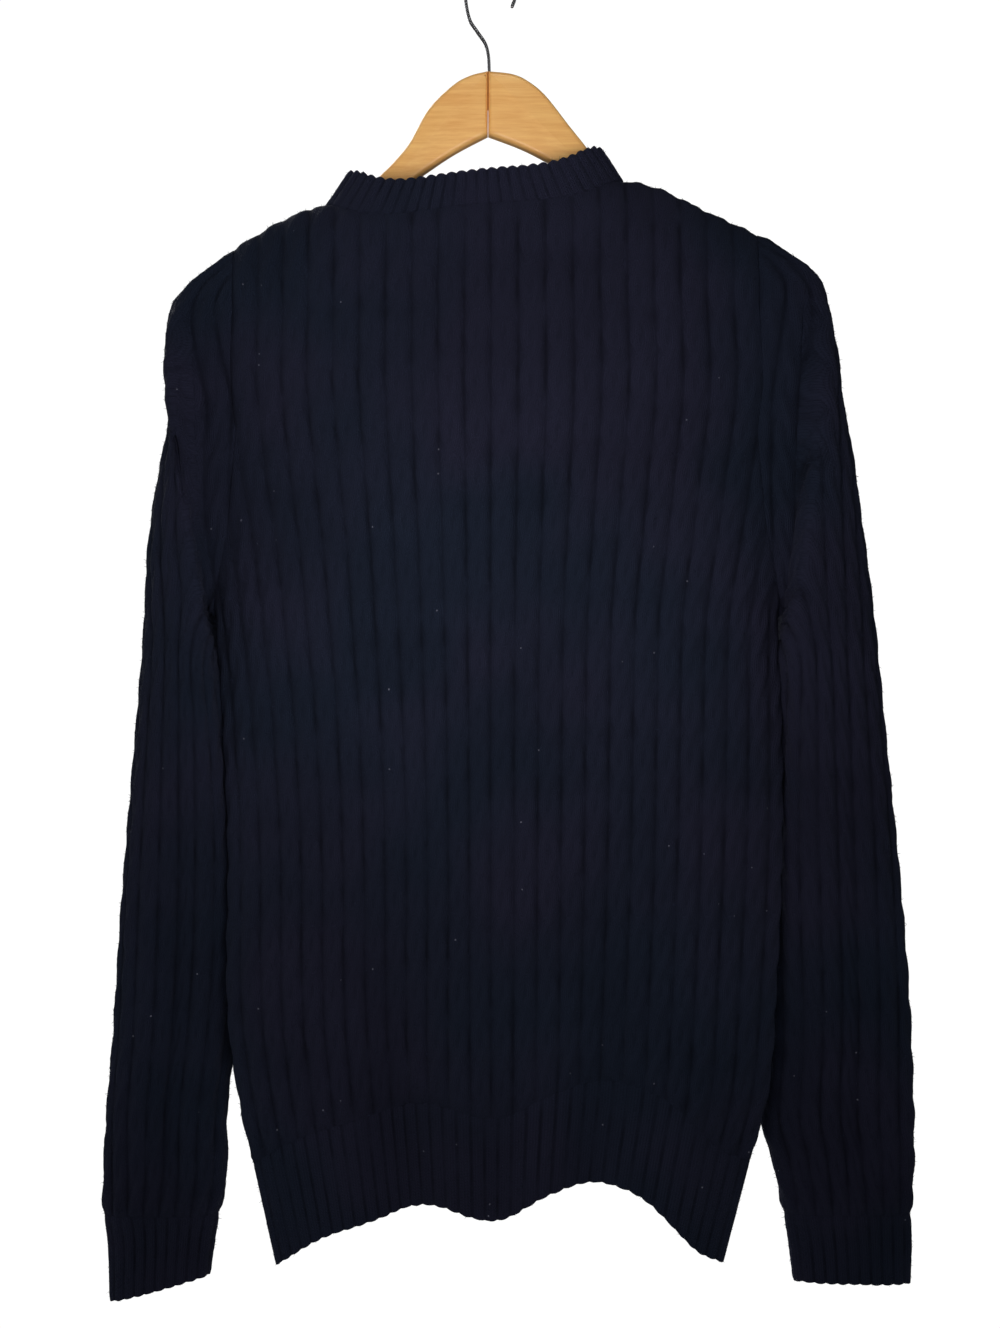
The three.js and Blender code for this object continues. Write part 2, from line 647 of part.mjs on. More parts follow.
// The cables' relief grows from nothing over the first rings, and the inner surface keeps every
// other column and every third ring.
const RELIEF_RINGS = 3;
function sleeveGeometry(side) {
  const columns = 2 * SLEEVE_CABLES;
  const rings = sleeveRings(side, SLEEVE_RINGS, columns);
  const last = SLEEVE_RINGS - 1;
  const turn = side === 'left' ? -1 : 1;
  const level = (r) => r === last;
  const crest = (k) => k % 2 === 1;
  const edge = (r) => r === 0 || r === last;
  const outer = tubeSurface(rings, {
    turn,
    level,
    out: (k, r) => WALL + (crest(k) ? CABLE_RELIEF * Math.min(1, r / RELIEF_RINGS) : 0),
    lean: (k, r) => (crest(k) && !edge(r) ? 2 * crestLean(r) : 0),
    keep: (k, r) => crest(k) || edge(r) || r % 2 === 0,
    seam: armholeRing(side, columns, WALL),
  });
  const inner = tubeSurface(everyOther(rings), { turn, level, keep: (k, r) => edge(r) || r % 3 === 0 });
  return shell(outer, inner);
}

// A ribbed tube: every odd column is the top of a rib.
function ribbedTube(rings, turn, level, seam) {
  const rib = (k) => k % 2 === 1;
  const outer = tubeSurface(rings, {
    turn,
    level,
    out: (k, r) => WALL + (rib(k) && !(r === 0 && seam) ? RIB_RELIEF : 0),
    seam,
  });
  return shell(outer, tubeSurface(everyOther(rings), { turn, level }));
}

function cuffGeometry(side) {
  const rows = CUFFS[side].map((row) => ({ ...row, y: CUFF_Y[side] }));
  const girth = ringLength(evenRing(rows[0], 2 * SLEEVE_CABLES, SKIN));
  const columns = 2 * Math.round(girth / RIB_PITCH);
  const rings = [0, 0.5, 1, 2].map((t) => evenRing(tableRing(rows, t), columns, SKIN));
  for (const p of rings[0]) p.z -= SEAM_GAP;
  return ribbedTube(rings, side === 'left' ? -1 : 1, (r) => r === 0);
}

// Places round the neckline, from the left shoulder over the back.
function necklinePlace(t) {
  const side = t <= 0.5 ? 1 : -1;
  const cable = NECK_MIDDLE + NECK_CABLES * Math.cos(t * 2 * Math.PI);
  return { side, cable, h: panelTop(side, cable) };
}

// The neckband's seam, evenly spaced, a gap away from the panels in the cloth's surface.
const NECK_SAMPLES = 240;
const NECK_STEP = 0.01;
const TINY = 1e-4;
function neckline(count, out) {
  const at = (t) => {
    const { side, cable, h } = necklinePlace(t);
    const before = necklinePlace(Math.max(t <= 0.5 ? 0 : 0.5 + TINY, t - NECK_STEP));
    const after = necklinePlace(Math.min(t <= 0.5 ? 0.5 : 1, t + NECK_STEP));
    const across = Math.abs(after.cable - before.cable) * CABLE_PITCH;
    const along = Math.abs(after.h - before.h);
    const long = Math.hypot(across, along);
    const inward = Math.sign(NECK_MIDDLE - cable) * (along / long) * RING_GAP;
    return panelPoint(side, cable + inward / CABLE_PITCH, h + (across / long) * RING_GAP, out);
  };
  return evenly(Array.from({ length: NECK_SAMPLES + 1 }, (_, i) => at(i / NECK_SAMPLES)), count);
}

function neckbandGeometry() {
  const columns = 2 * Math.round(ringLength(neckline(NECK_SAMPLES, 0)) / RIB_PITCH);
  const seam = neckline(columns, 0);
  const centre = middle(seam).x;
  const rise = (p, share) => {
    const drawn = 1 - NECKBAND_LEAN * share;
    return new THREE.Vector3(centre + (p.x - centre) * drawn, p.y, p.z + NECKBAND_HEIGHT * share);
  };
  const rings = [0, 0.5, 1].map((share) => seam.map((p) => rise(p, share)));
  return ribbedTube(rings, 1, never, neckline(columns, WALL));
}

// A ribbed hem band below one panel.
const HEM_OUTER_ROWS = [0, 0.33, 0.67, 1];       // shares of its height
const HEM_INNER_ROWS = [0, 0.5, 1];
function hemGeometry(side) {
  const girth = 2 * PANEL_CABLES * HEM_CABLE_PITCH;
  const columns = 2 * Math.round(girth / RIB_PITCH);
  const surface = (step, rows, out) => {
    const list = [];
    for (let k = 0; k <= columns; k += step) {
      const cable = PANEL_CABLES * (2 * k / columns - 1);
      const raised = out && k % 2 === 1 ? out + RIB_RELIEF : out;
      list.push(rows.map((share) => {
        const h = hemEdge(side, cable) + (HEM_HEIGHT - HEM_GAP) * share;
        return { h: share, p: seamed(side, panelPoint(side, cable, h, raised)) };
      }));
    }
    return zipColumns(side > 0 ? list.reverse() : list, false, 1);
  };
  return shell(surface(1, HEM_OUTER_ROWS, WALL), surface(2, HEM_INNER_ROWS, 0));
}

const vector = (p) => new THREE.Vector2(p.x, p.z);

// The outline of one half of the hanger: up from the joint, out along the top, round the tip, and back.
const TOP_STEPS = 26;
const LOW_STEPS = 8;
function hangerShape(side) {
  const left = side === 'left' ? 1 : -1;
  const joint = JOINT_X + left * JOINT_GAP / 2;
  const beyond = (p) => left * (p.x - JOINT_X) > 0;
  const hump = HUMP_TOP.filter(beyond);
  if (left < 0) hump.reverse();
  const tip = ARM_TIP[side];
  const arm = ARM_TOP[side].map(({ x, drop }) => ({ x, z: read(SHOULDER, 'x', x, 'z') - SKIN - drop }));
  const topLine = [{ x: joint, z: HUMP_TOP.find((p) => p.x === JOINT_X).z }, ...hump, ...arm];
  const round = TIP_ANGLES.map((degrees) => {
    const angle = THREE.MathUtils.degToRad(degrees);
    return new THREE.Vector2(tip.x + left * tip.r * Math.cos(angle), tip.z + tip.r * Math.sin(angle));
  });
  const notch = side === 'left' ? NOTCH_LEFT : NOTCH_RIGHT;
  const lowLine = [...ARM_LOW[side], notch];
  const top = new THREE.SplineCurve([...topLine.map(vector), round[0]]).getPoints(TOP_STEPS);
  const low = new THREE.SplineCurve([round[round.length - 1], ...lowLine.map(vector)]).getPoints(LOW_STEPS);
  const outline = [...top, ...round.slice(1, -1), ...low, new THREE.Vector2(joint, NOTCH_TOP.z)];
  return new THREE.Shape(left > 0 ? outline.reverse() : outline);
}

// A solid with its shared corners merged, for cutting.
function manifoldOf(geometry) {
  geometry.deleteAttribute('normal');
  geometry.deleteAttribute('uv');
  const merged = mergeVertices(geometry, TINY);
  const mesh = { numProp: 3, vertProperties: merged.attributes.position.array, triVerts: merged.index.array };
  return new wasm.Manifold(new wasm.Mesh(mesh));
}

function geometryOf(solid) {
  const mesh = solid.getMesh();
  const geometry = new THREE.BufferGeometry();
  geometry.setAttribute('position', new THREE.Float32BufferAttribute(mesh.vertProperties, 3));
  geometry.setIndex(Array.from(mesh.triVerts));
  return geometry;
}

function hangerGeometry(side) {
  const body = new THREE.ExtrudeGeometry(hangerShape(side), {
    depth: WOOD_THICK - 2 * WOOD_ROUND,
    bevelThickness: WOOD_ROUND,
    bevelSize: WOOD_ROUND,
    bevelOffset: -WOOD_ROUND,
    bevelSegments: BEVEL_STEPS,
  });
  body.rotateX(Math.PI / 2);
  body.translate(0, WOOD_THICK / 2 - WOOD_ROUND, 0);
  const places = body.attributes.position;
  for (let i = 0; i < places.count; i++) {
    const p = swept(new THREE.Vector3().fromBufferAttribute(places, i));
    places.setXYZ(i, p.x, p.y, p.z);
  }
  const radius = WIRE / 2 + BORE_CLEARANCE;
  const bore = new THREE.CylinderGeometry(radius, radius, BORE_LENGTH, BORE_SIDES);
  bore.rotateX(Math.PI / 2);
  bore.translate(SHANK_X, 0, SHANK_END - BORE_CLEARANCE + BORE_LENGTH / 2);
  return geometryOf(manifoldOf(body).subtract(manifoldOf(bore)));
}

function hookGeometry() {
  const radius = HOOK_BEND + WIRE / 2;
  const arc = HOOK_ARC.map((degrees) => {
    const angle = THREE.MathUtils.degToRad(degrees);
    return new THREE.Vector3(radius * Math.cos(angle), 0, radius * Math.sin(angle) - HOOK_BEND);
  });
  const path = new THREE.CatmullRomCurve3([...SHANK.map((p) => new THREE.Vector3(p.x, 0, p.z)), ...arc]);
  const circle = new THREE.Path().absarc(0, 0, WIRE / 2, 0, 2 * Math.PI);
  const section = new THREE.Shape(circle.getPoints(WIRE_SIDES));
  return new THREE.ExtrudeGeometry(section, { steps: WIRE_STEPS, extrudePath: path });
}

const part = new THREE.Group();

function addMesh(name, geometry, material) {
  const mesh = new THREE.Mesh(geometry, material.clone());
  mesh.name = name;
  part.add(mesh);
}

const knit = new THREE.MeshStandardMaterial({ color: 0x171b28, roughness: 0.95, metalness: 0 });
const wood = new THREE.MeshStandardMaterial({ color: 0xdba963, roughness: 0.4, metalness: 0 });
const steel = new THREE.MeshStandardMaterial({ color: 0xa9abad, roughness: 0.25, metalness: 1 });

addMesh('back', shell(panelOuter(1), panelInner(1)), knit);
addMesh('front', shell(panelOuter(-1), panelInner(-1)), knit);
addMesh('hem_back', hemGeometry(1), knit);
addMesh('hem_front', hemGeometry(-1), knit);
addMesh('neckband', neckbandGeometry(), knit);
for (const side of ['left', 'right']) {
  addMesh('sleeve_' + side, sleeveGeometry(side), knit);
  addMesh('cuff_' + side, cuffGeometry(side), knit);
  addMesh('hanger_' + side, hangerGeometry(side), wood);
}
addMesh('hook', hookGeometry(), steel);

export default part;
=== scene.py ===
import math

import bpy
import numpy as np
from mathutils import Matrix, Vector


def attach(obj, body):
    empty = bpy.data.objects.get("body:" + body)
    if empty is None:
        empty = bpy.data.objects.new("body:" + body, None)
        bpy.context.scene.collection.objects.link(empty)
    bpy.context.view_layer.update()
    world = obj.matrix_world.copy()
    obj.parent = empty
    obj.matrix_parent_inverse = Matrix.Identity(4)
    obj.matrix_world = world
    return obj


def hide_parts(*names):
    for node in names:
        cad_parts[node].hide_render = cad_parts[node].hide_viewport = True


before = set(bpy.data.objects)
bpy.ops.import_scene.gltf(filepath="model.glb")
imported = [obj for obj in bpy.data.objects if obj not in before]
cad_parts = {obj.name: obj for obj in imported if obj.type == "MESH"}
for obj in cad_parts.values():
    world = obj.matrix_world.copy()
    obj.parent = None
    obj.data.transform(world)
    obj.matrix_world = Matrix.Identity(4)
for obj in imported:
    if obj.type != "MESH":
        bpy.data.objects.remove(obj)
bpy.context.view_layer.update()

# A fine cable knit pullover on a wooden hanger. The garment's sizes are in millimetres, as a maker
# would write them, and become metres where a mesh is made. +Y is the garment's back, +X its left.
MM = 0.001

# Cloth.
WALL = 2.0                # thickness between the cables
SKIN = WALL + 1.2         # from the inner surface to the outline that the eye sees
SEAM_GAP = 0.3
RING_GAP = 0.4
PANEL_CABLES = 13         # from the middle of a panel to its side seam
YOKE_CABLES = 10
NECK_MIDDLE = 0.75
NECK_CABLES = 5.75
SLEEVE_CABLES = 16
CABLE_PITCH = 16.0
SCOOP_EASE = 1.5
ARC_POWER = 1.45          # makes two legs into the length of the arc over them
UNDERARM = -440.0
CAP_SLANT = 0.075         # how far the cap's cables lean out on their way down
NEAR_PLUMB = 4.0
CAP_END = -395.0          # from here down the sleeve's cables come to follow its rings
CAP_EASE = 60.0
CUFF_SEAM = -811.0
FOLD_EASE = 60.0          # a sleeve's folds fade out over this height above its cuff
RIB_PITCH = 7.8
CROSSING = 30.0           # height from one crossing of a cable's strands to the next
CABLE_RELIEF = 2.1
RIB_RELIEF = 1.7
STRAND_ROUND = 0.7        # power that rounds a strand or a rib
BED_ROUND = 0.4
CLOTH_SHARP = 62          # degrees past which an edge is sharp
WOOD_SHARP = 40
LOW_RIB_RELIEF = 1.0      # on the hem and the cuffs, where the ribs show less
FIBRE_LEAN = 1.2          # radians that a loose fibre leans over, at most
FIBRE_TURN = 3.1
SHORTEST_FIBRE = 0.4      # share of the longest
SHOULDER_SOFT = 0.5       # share of the relief that is pressed flat on the shoulders
EDGE_EASE = 5.0           # the relief fades in over this height at a seam
EDGE_RELIEF = 0.3         # share of the relief that is left right at a seam
SEAM_EASE = 0.07          # share of a tube over which its seam's own points give way to its section
FOLD_FADE = 0.5           # share of a fold's height over which it deepens
FOLDS_END = 9.0           # a panel's folds fade out from this cable on
FOLDS_EASE = 4.0

HEM_HEIGHT = 66.0
HEM_GAP = 0.3
HEM_CABLE_PITCH = 11.7    # of the cables where the hem draws them in
LOWEST_COURSE = -780.0
FRONT_HEM_LIFT = 6.0
SHOULDER_ROLL = 45.0
BACK_NECK_DROP = 37.0
FRONT_NECK_DROP = 98.0
BACK_NECK_POWER = 5.0
FRONT_NECK_POWER = 2.6
NECK_SPREAD = 8.0
NECK_SPREAD_LOW = -420.0
NECK_SPREAD_RISE = 220.0
NECK_SPREAD_REACH = 1.5   # in halves of the neck's width
SHOULDER_LEVEL = -190.0   # where a cable's place on the shoulder is read
NECKBAND_HEIGHT = 22.0
NECKBAND_LEAN = 0.17

SWEEP = 0.1
SWEEP_ROUND = 40.0
SWEEP_TOP = -250.0
SWEEP_END = -560.0
SECTION_POWER = 2.5

# How finely the cloth is drawn.
CABLE_COLUMNS = 12
ROW = 2.8
RIB_COLUMNS = 6
INNER_COLUMNS = 2
INNER_ROW = 15.0
CLOSEST = 0.4             # share of a row that a column's end keeps from the next course
TOP_MARGIN = 0.3          # how far below a panel's ridge its last points lie
SIDE_MARGIN = 0.02        # the same at its side, in cables
CABLE_STEP = 0.015        # cables and millimetres to the points that give a panel's normal
HEIGHT_STEP = 0.25
ARMHOLE_STEP = 0.02       # shares of a seam to the points that give its direction
NECK_STEP = 0.01
NECK_SAMPLES = 480
FRONT_STARTS = 0.5001     # just past the half of the neckline that is the back's
NECK_COLUMNS = 40
RING_SAMPLES = 720
GIRTH_COLUMNS = 64
CAP_CURVE = 4             # degree of the curve that the cap's cables are fitted with
SLEEVE_RINGS = 234
SLEEVE_THIN = 6           # the inner surface keeps every sixth column and ring
CUFF_RINGS = 19
NECKBAND_RINGS = 13
RIB_THIN = 3
HEM_ROWS = 24
HEM_INNER_ROWS = 6
TINY = 1e-6


def table(columns, *rows):
    return dict(zip(columns.split(), np.array(rows, float).T))


BODY = table(
    "z left right back front",
    (-845, 139, 151, 17, 17),
    (-768, 156, 171, 20, 20),
    (-724, 165, 182, 22, 22),
    (-669, 171, 186, 25, 23),
    (-571, 170, 190, 29, 25),
    (-474, 174, 189, 36, 32),
    (-420, 179, 188, 42, 37),
    (-383, 186, 197, 40, 36),
    (-328, 200, 211, 36, 34),
    (-269, 212, 224, 32, 30),
    (-214, 213, 223, 28, 27),
    (-100, 213, 222, 24, 24),
)
SHOULDER = table(
    "x z",
    (-240, -212), (-189, -176), (-142, -154), (-97, -136), (0, -135),
    (115, -152), (151, -168), (178, -186), (230, -226),
)
HEM_EDGE = table(
    "cable z",
    (-13, -838), (-11, -827), (-8, -795), (-5.6, -784), (-3, -791), (-0.4, -806),
    (3.2, -797), (6.6, -808), (9.8, -820), (13, -840),
)
ARMHOLE = table("cable z", (10, -300), (11, -360), (12, -395), (13, -420))

# Soft folds pressed into a panel: where they run, their width and depth, and between what heights.
PANEL_FOLDS = table(
    "side cable width depth low high",
    (1, -4.6, 1.7, 9, -860, -560),
    (1, 1.2, 1.6, -7, -860, -620),
    (1, 5.0, 1.6, 8, -860, -590),
    (1, -9.5, 1.5, -5, -860, -640),
    (-1, -6, 1.8, 6, -860, -600),
    (-1, 0.5, 1.7, -5, -860, -640),
    (-1, 6.5, 1.8, 7, -860, -570),
)
SLEEVES = {
    "left": table(
        "outX outZ inX inZ y half",
        (196, -199, 187, -408, -1, 25),
        (206, -214, 188, -416, -1, 31),
        (209, -242, 188, -428, 0, 37),
        (206, -280, 182, -443, -3, 42),
        (214, -320, 178.5, -466, -8, 44),
        (222, -370, 176, -490, -14, 44),
        (226, -430, 172.5, -525, -20, 42),
        (234, -515, 169, -580, -26, 36),
        (243, -612, 167, -645, -28, 29),
        (248, -690, 170, -700, -26, 24),
        (252, -745, 174.5, -745, -22, 22),
        (254, -785, 174, -785, -20, 18),
        (255, -811, 178, -811, -20, 15),
    ),
    "right": table(
        "outX outZ inX inZ y half",
        (-205, -186, -196, -408, -1, 25),
        (-216, -201, -194.5, -416, -1, 31),
        (-223, -234, -194, -428, 0, 37),
        (-228, -270, -190, -444, -3, 41),
        (-236, -312, -190.5, -468, -8, 42),
        (-244, -365, -191, -490, -14, 41),
        (-252, -425, -189.5, -525, -20, 38),
        (-261, -510, -187.5, -580, -26, 32),
        (-270, -590, -186, -640, -28, 25),
        (-277, -670, -184, -700, -27, 18),
        (-280, -735, -178, -748, -24, 14),
        (-280, -778, -186, -778, -22, 13),
        (-278, -811, -193, -811, -22, 14),
    ),
}
SLEEVE_FOLDS = {
    "left": table("cable width depth low high", (4.2, 1.1, 7, -800, -480), (11.5, 1.2, 5, -800, -560)),
    "right": table("cable width depth low high", (3.4, 0.9, 5, -790, -380), (12.4, 1.2, 4, -800, -520)),
}
CUFFS = {
    "left": table(
        "outX outZ inX inZ y half",
        (255, -811, 178, -811, -20, 15),
        (252.5, -832, 181, -830, -20, 12.5),
        (251, -869, 184, -850, -20, 14),
    ),
    "right": table(
        "outX outZ inX inZ y half",
        (-278, -811, -193, -811, -22, 14),
        (-279, -832, -196, -832, -22, 12),
        (-278, -857, -199, -855, -22, 13),
    ),
}

# Hanger.
WOOD_THICK = 12.6
WOOD_ROUND = 3.4
JOINT_X = 1.3
JOINT_TOP = -65.6
JOINT_GAP = 0.3
HUMP_TOP = table(
    "x z",
    (-70, -124), (-61, -112), (-52, -101), (-36, -81), (-25, -72), (-15, -67.5), (1.3, -65.6),
    (13, -68.5), (24, -74.5), (40, -90), (52, -111), (60, -121), (70, -131),
)
NOTCH_TOP = -107.0
NOTCH_BULGE = 1.5
NOTCH = {"left": (47, -134), "right": (-45, -127.5)}
ARM_TOP = {
    "left": table("x drop", (98, 3.4), (124, 3.4), (148, 4.5), (168, 7.4)),
    "right": table("x drop", (-84, 4), (-112, 3.4), (-146, 4.5), (-176, 7.4)),
}
ARM_TIP = {"left": (186, -216.5), "right": (-196, -206.5)}
TIP_RADIUS = 11
TIP_TURN = (62, -95)      # degrees, from the arm's top round to its lower edge
TIP_POINTS = 14
TOP_POINTS, LOW_POINTS, NOTCH_POINTS = 90, 30, 12
ROUND_STEP = 15           # degrees between the loops of the rounded edge
ARM_LOW = {"left": [(160, -214), (110, -186)], "right": [(-170, -203), (-110, -171)]}

# Hook.
WIRE = 2.4
WIRE_SIDES = 16
WIRE_STEPS = 120
WIRE_DOME = (30, 60, 88)  # degrees over the round end of the wire
HOOK_BEND = 15.0          # radius inside the bend
SHANK = [(0.7, -90), (0.7, -76), (0.7, -64), (1.3, -54), (3.4, -46.5), (8.4, -39), (13.4, -31)]
HOOK_ARC = [-8, 20, 48, 76, 104, 132, 160, 188, 208]      # degrees round the bend

# The camera's own place, so that the frame matches the photograph's.
CAMERA_X, CAMERA_Z = -6.5, -450.0
CAMERA_AWAY = 1400.0
FRAME_TALL = 863.2        # height of what the camera sees at the hanger
SENSOR = 36.0
AMBIENT = 0.09            # brightness of the surroundings as they light the cloth
BACKDROP = 1.05           # their brightness to the eye
FLOOR_WIDE, FLOOR_DEEP = 1.1, 1.0
FLOOR_Y, FLOOR_Z = 0.25, -1.15


def clamp01(t):
    return np.clip(t, 0.0, 1.0)


def smooth(t):
    t = clamp01(t)
    return t * t * (3 - 2 * t)


def read(rows, key, at, column):
    """A column of a table at values of another column, on a smooth curve through its rows."""
    keys, values = rows[key], rows[column]
    if keys[-1] < keys[0]:
        keys, values = keys[::-1], values[::-1]
    slopes = np.empty(len(keys))
    slopes[1:-1] = (values[2:] - values[:-2]) / (keys[2:] - keys[:-2])
    slopes[0] = (values[1] - values[0]) / (keys[1] - keys[0])
    slopes[-1] = (values[-1] - values[-2]) / (keys[-1] - keys[-2])
    i = np.clip(np.searchsorted(keys, at) - 1, 0, len(keys) - 2)
    span = keys[i + 1] - keys[i]
    t = clamp01((at - keys[i]) / span)
    h00 = 2 * t ** 3 - 3 * t ** 2 + 1
    h10 = t ** 3 - 2 * t ** 2 + t
    h11 = t ** 3 - t ** 2
    return h00 * values[i] + h10 * span * slopes[i] + (1 - h00) * values[i + 1] + h11 * span * slopes[i + 1]


def quarter(wide, deep, share, steps=32):
    """Points of quarter superellipses, at a share of their arc length from the middle."""
    angle = np.linspace(0, math.pi / 2, steps + 1)
    xs = wide[..., None] * np.sin(angle) ** (2 / SECTION_POWER)
    ys = deep[..., None] * np.cos(angle) ** (2 / SECTION_POWER)
    step = np.hypot(np.diff(xs), np.diff(ys))
    length = np.concatenate([np.zeros(step.shape[:-1] + (1,)), np.cumsum(step, -1)], -1)
    want = clamp01(share) * length[..., -1]
    i = np.clip((length < want[..., None]).sum(-1), 1, steps)[..., None]
    before = np.take_along_axis(length, i - 1, -1)[..., 0]
    after = np.take_along_axis(length, i, -1)[..., 0]
    t = (want - before) / (after - before)
    x = (1 - t) * np.take_along_axis(xs, i - 1, -1)[..., 0] + t * np.take_along_axis(xs, i, -1)[..., 0]
    y = (1 - t) * np.take_along_axis(ys, i - 1, -1)[..., 0] + t * np.take_along_axis(ys, i, -1)[..., 0]
    flat = i[..., 0] <= steps / 2
    on_y = deep * np.maximum(0, 1 - (x / wide) ** SECTION_POWER) ** (1 / SECTION_POWER)
    on_x = wide * np.maximum(0, 1 - (y / deep) ** SECTION_POWER) ** (1 / SECTION_POWER)
    return np.where(flat, x, on_x), np.where(flat, on_y, y)


def points(x, y, z):
    return np.stack(np.broadcast_arrays(x, y, z), -1)


def swept(p):
    """How the hanger's arms, which sweep forward, carry the cloth."""
    ramp = smooth((p[..., 2] - SWEEP_END) / (SWEEP_TOP - SWEEP_END))
    moved = p.copy()
    moved[..., 1] -= SWEEP * (np.hypot(p[..., 0], SWEEP_ROUND) - SWEEP_ROUND) * ramp
    return moved


def fold_depth(folds, cable, z, side=None):
    depth = np.zeros(np.broadcast(cable, z).shape)
    for i in range(len(folds["cable"])):
        if side is not None and folds["side"][i] != side:
            continue
        across = np.exp(-(((cable - folds["cable"][i]) / folds["width"][i]) ** 2))
        along = smooth((folds["high"][i] - z) / ((folds["high"][i] - folds["low"][i]) * FOLD_FADE))
        depth = depth + folds["depth"][i] * across * along
    return depth


def section_point(side, cable, z):
    wide = np.where(cable >= 0, read(BODY, "z", z, "left"), read(BODY, "z", z, "right")) - SKIN
    deep = read(BODY, "z", z, "back" if side > 0 else "front") - SKIN
    x, y = quarter(wide, deep, np.abs(cable) / PANEL_CABLES)
    fold = fold_depth(PANEL_FOLDS, cable, z, side) * (1 - smooth((np.abs(cable) - FOLDS_END) / FOLDS_EASE))
    near = smooth(NECK_SPREAD_REACH - np.abs(cable - NECK_MIDDLE) / NECK_CABLES)
    neck = near * smooth((z - NECK_SPREAD_LOW) / NECK_SPREAD_RISE)
    return points(np.sign(cable) * x, side * (y - fold + NECK_SPREAD * neck), z)


def roll_start(cable):
    x = section_point(1, cable, np.full(np.shape(cable), SHOULDER_LEVEL))[..., 0]
    return read(SHOULDER, "x", x, "z") - SKIN - SHOULDER_ROLL


def roll_length(side, cable):
    """A quarter of the girth of the ellipse that the cloth rolls over at the shoulder."""
    deep = np.abs(section_point(side, cable, roll_start(cable))[..., 1])
    a = SHOULDER_ROLL
    return math.pi / 4 * (3 * (a + deep) - np.sqrt((3 * a + deep) * (a + 3 * deep)))


def panel_base(side, cable, height):
    start = roll_start(cable)
    low = section_point(side, cable, np.minimum(height, start))
    angle = clamp01((height - start) / roll_length(side, cable)) * math.pi / 2
    y = low[..., 1] * np.cos(angle)
    z = np.where(height <= start, height, start + SHOULDER_ROLL * np.sin(angle))
    return points(low[..., 0], y, z)


def panel_point(side, cable, height, out):
    edge = PANEL_CABLES - SIDE_MARGIN
    c = np.clip(cable, -edge, edge)
    h = np.minimum(height, roll_start(c) + roll_length(side, c) - TOP_MARGIN)
    du, dv = -CABLE_STEP * side, HEIGHT_STEP
    across = panel_base(side, c + du, h) - panel_base(side, c - du, h)
    up = panel_base(side, c, h + dv) - panel_base(side, c, h - dv)
    normal = np.cross(across, up)
    normal /= np.linalg.norm(normal, axis=-1, keepdims=True)
    return panel_base(side, c, h) + normal * np.asarray(out, float)[..., None]


def panel_top(side, cable):
    c = np.abs(cable)
    ridge = roll_start(cable) + roll_length(side, cable)
    across = np.minimum(1, np.abs(cable - NECK_MIDDLE) / NECK_CABLES)
    drop = BACK_NECK_DROP if side > 0 else FRONT_NECK_DROP
    power = BACK_NECK_POWER if side > 0 else FRONT_NECK_POWER
    yoke = ridge - drop * (1 - across ** power)
    return np.where(c > YOKE_CABLES + TINY, read(ARMHOLE, "cable", c, "z"), yoke)


def hem_edge(side, cable):
    lift = 0 if side > 0 else FRONT_HEM_LIFT * (1 - (cable / PANEL_CABLES) ** 2)
    return read(HEM_EDGE, "cable", cable, "z") + lift


def seamed(side, p):
    """Keeps the two panels a seam apart where they meet in the plane between them."""
    kept = p.copy()
    kept[..., 1] = side * np.maximum(side * p[..., 1], SEAM_GAP / 2)
    return kept


# A surface is a dict: its points, its faces, and the cable, course and weight of the relief there.


def zip_columns(columns, closed, longest):
    """Joins neighbouring columns of points, each with its own heights, into triangles."""
    places = np.concatenate([c["p"] for c in columns])
    surface = {"p": places, "cable": np.concatenate([c["cable"] for c in columns])}
    surface["course"] = np.concatenate([c["course"] for c in columns])
    surface["weight"] = np.concatenate([c["weight"] for c in columns])
    starts = np.cumsum([0] + [len(c["h"]) for c in columns])
    faces = []
    for k in range(len(columns) if closed else len(columns) - 1):
        following = (k + 1) % len(columns)
        low, high = columns[k]["h"].tolist(), columns[following]["h"].tolist()
        a, b = int(starts[k]), int(starts[following])
        i = j = 0
        while i < len(low) - 1 or j < len(high) - 1:
            up_low = low[i + 1] if i < len(low) - 1 else math.inf
            up_high = high[j + 1] if j < len(high) - 1 else math.inf
            if up_low == math.inf and up_high - low[i] > longest:
                break
            if up_high == math.inf and up_low - high[j] > longest:
                break
            if up_low <= up_high:
                faces.append((a + i, b + j, a + i + 1))
                i += 1
            else:
                faces.append((a + i, b + j, b + j + 1))
                j += 1
    surface["faces"] = faces
    return surface


def edge_loops(faces):
    """The open edges of a surface, as loops in the order of its faces."""
    sides = [(f[i], f[(i + 1) % 3]) for f in faces for i in range(3)]
    seen = set(sides)
    following = {v: w for v, w in sides if (w, v) not in seen}
    loops = []
    while following:
        start = v = next(iter(following))
        loop = []
        while v in following:
            loop.append(v)
            v = following.pop(v)
            if v == start:
                break
        loops.append(loop)
    return loops


def rim_faces(p, outer, inner):
    """Triangles between two loops that run side by side, always across the shorter way."""
    distance = np.linalg.norm(p[inner] - p[outer[0]], axis=1)
    first = int(distance.argmin())
    faces, i, j = [], 0, 0
    while i < len(outer) or j < len(inner):
        o, n = outer[i % len(outer)], inner[(first + j) % len(inner)]
        next_o, next_n = outer[(i + 1) % len(outer)], inner[(first + j + 1) % len(inner)]
        gap_o = ((p[next_o] - p[n]) ** 2).sum()
        gap_n = ((p[o] - p[next_n]) ** 2).sum()
        if j >= len(inner) or (i < len(outer) and gap_o <= gap_n):
            faces.append((next_o, o, n))
            i += 1
        else:
            faces.append((n, next_n, o))
            j += 1
    return faces


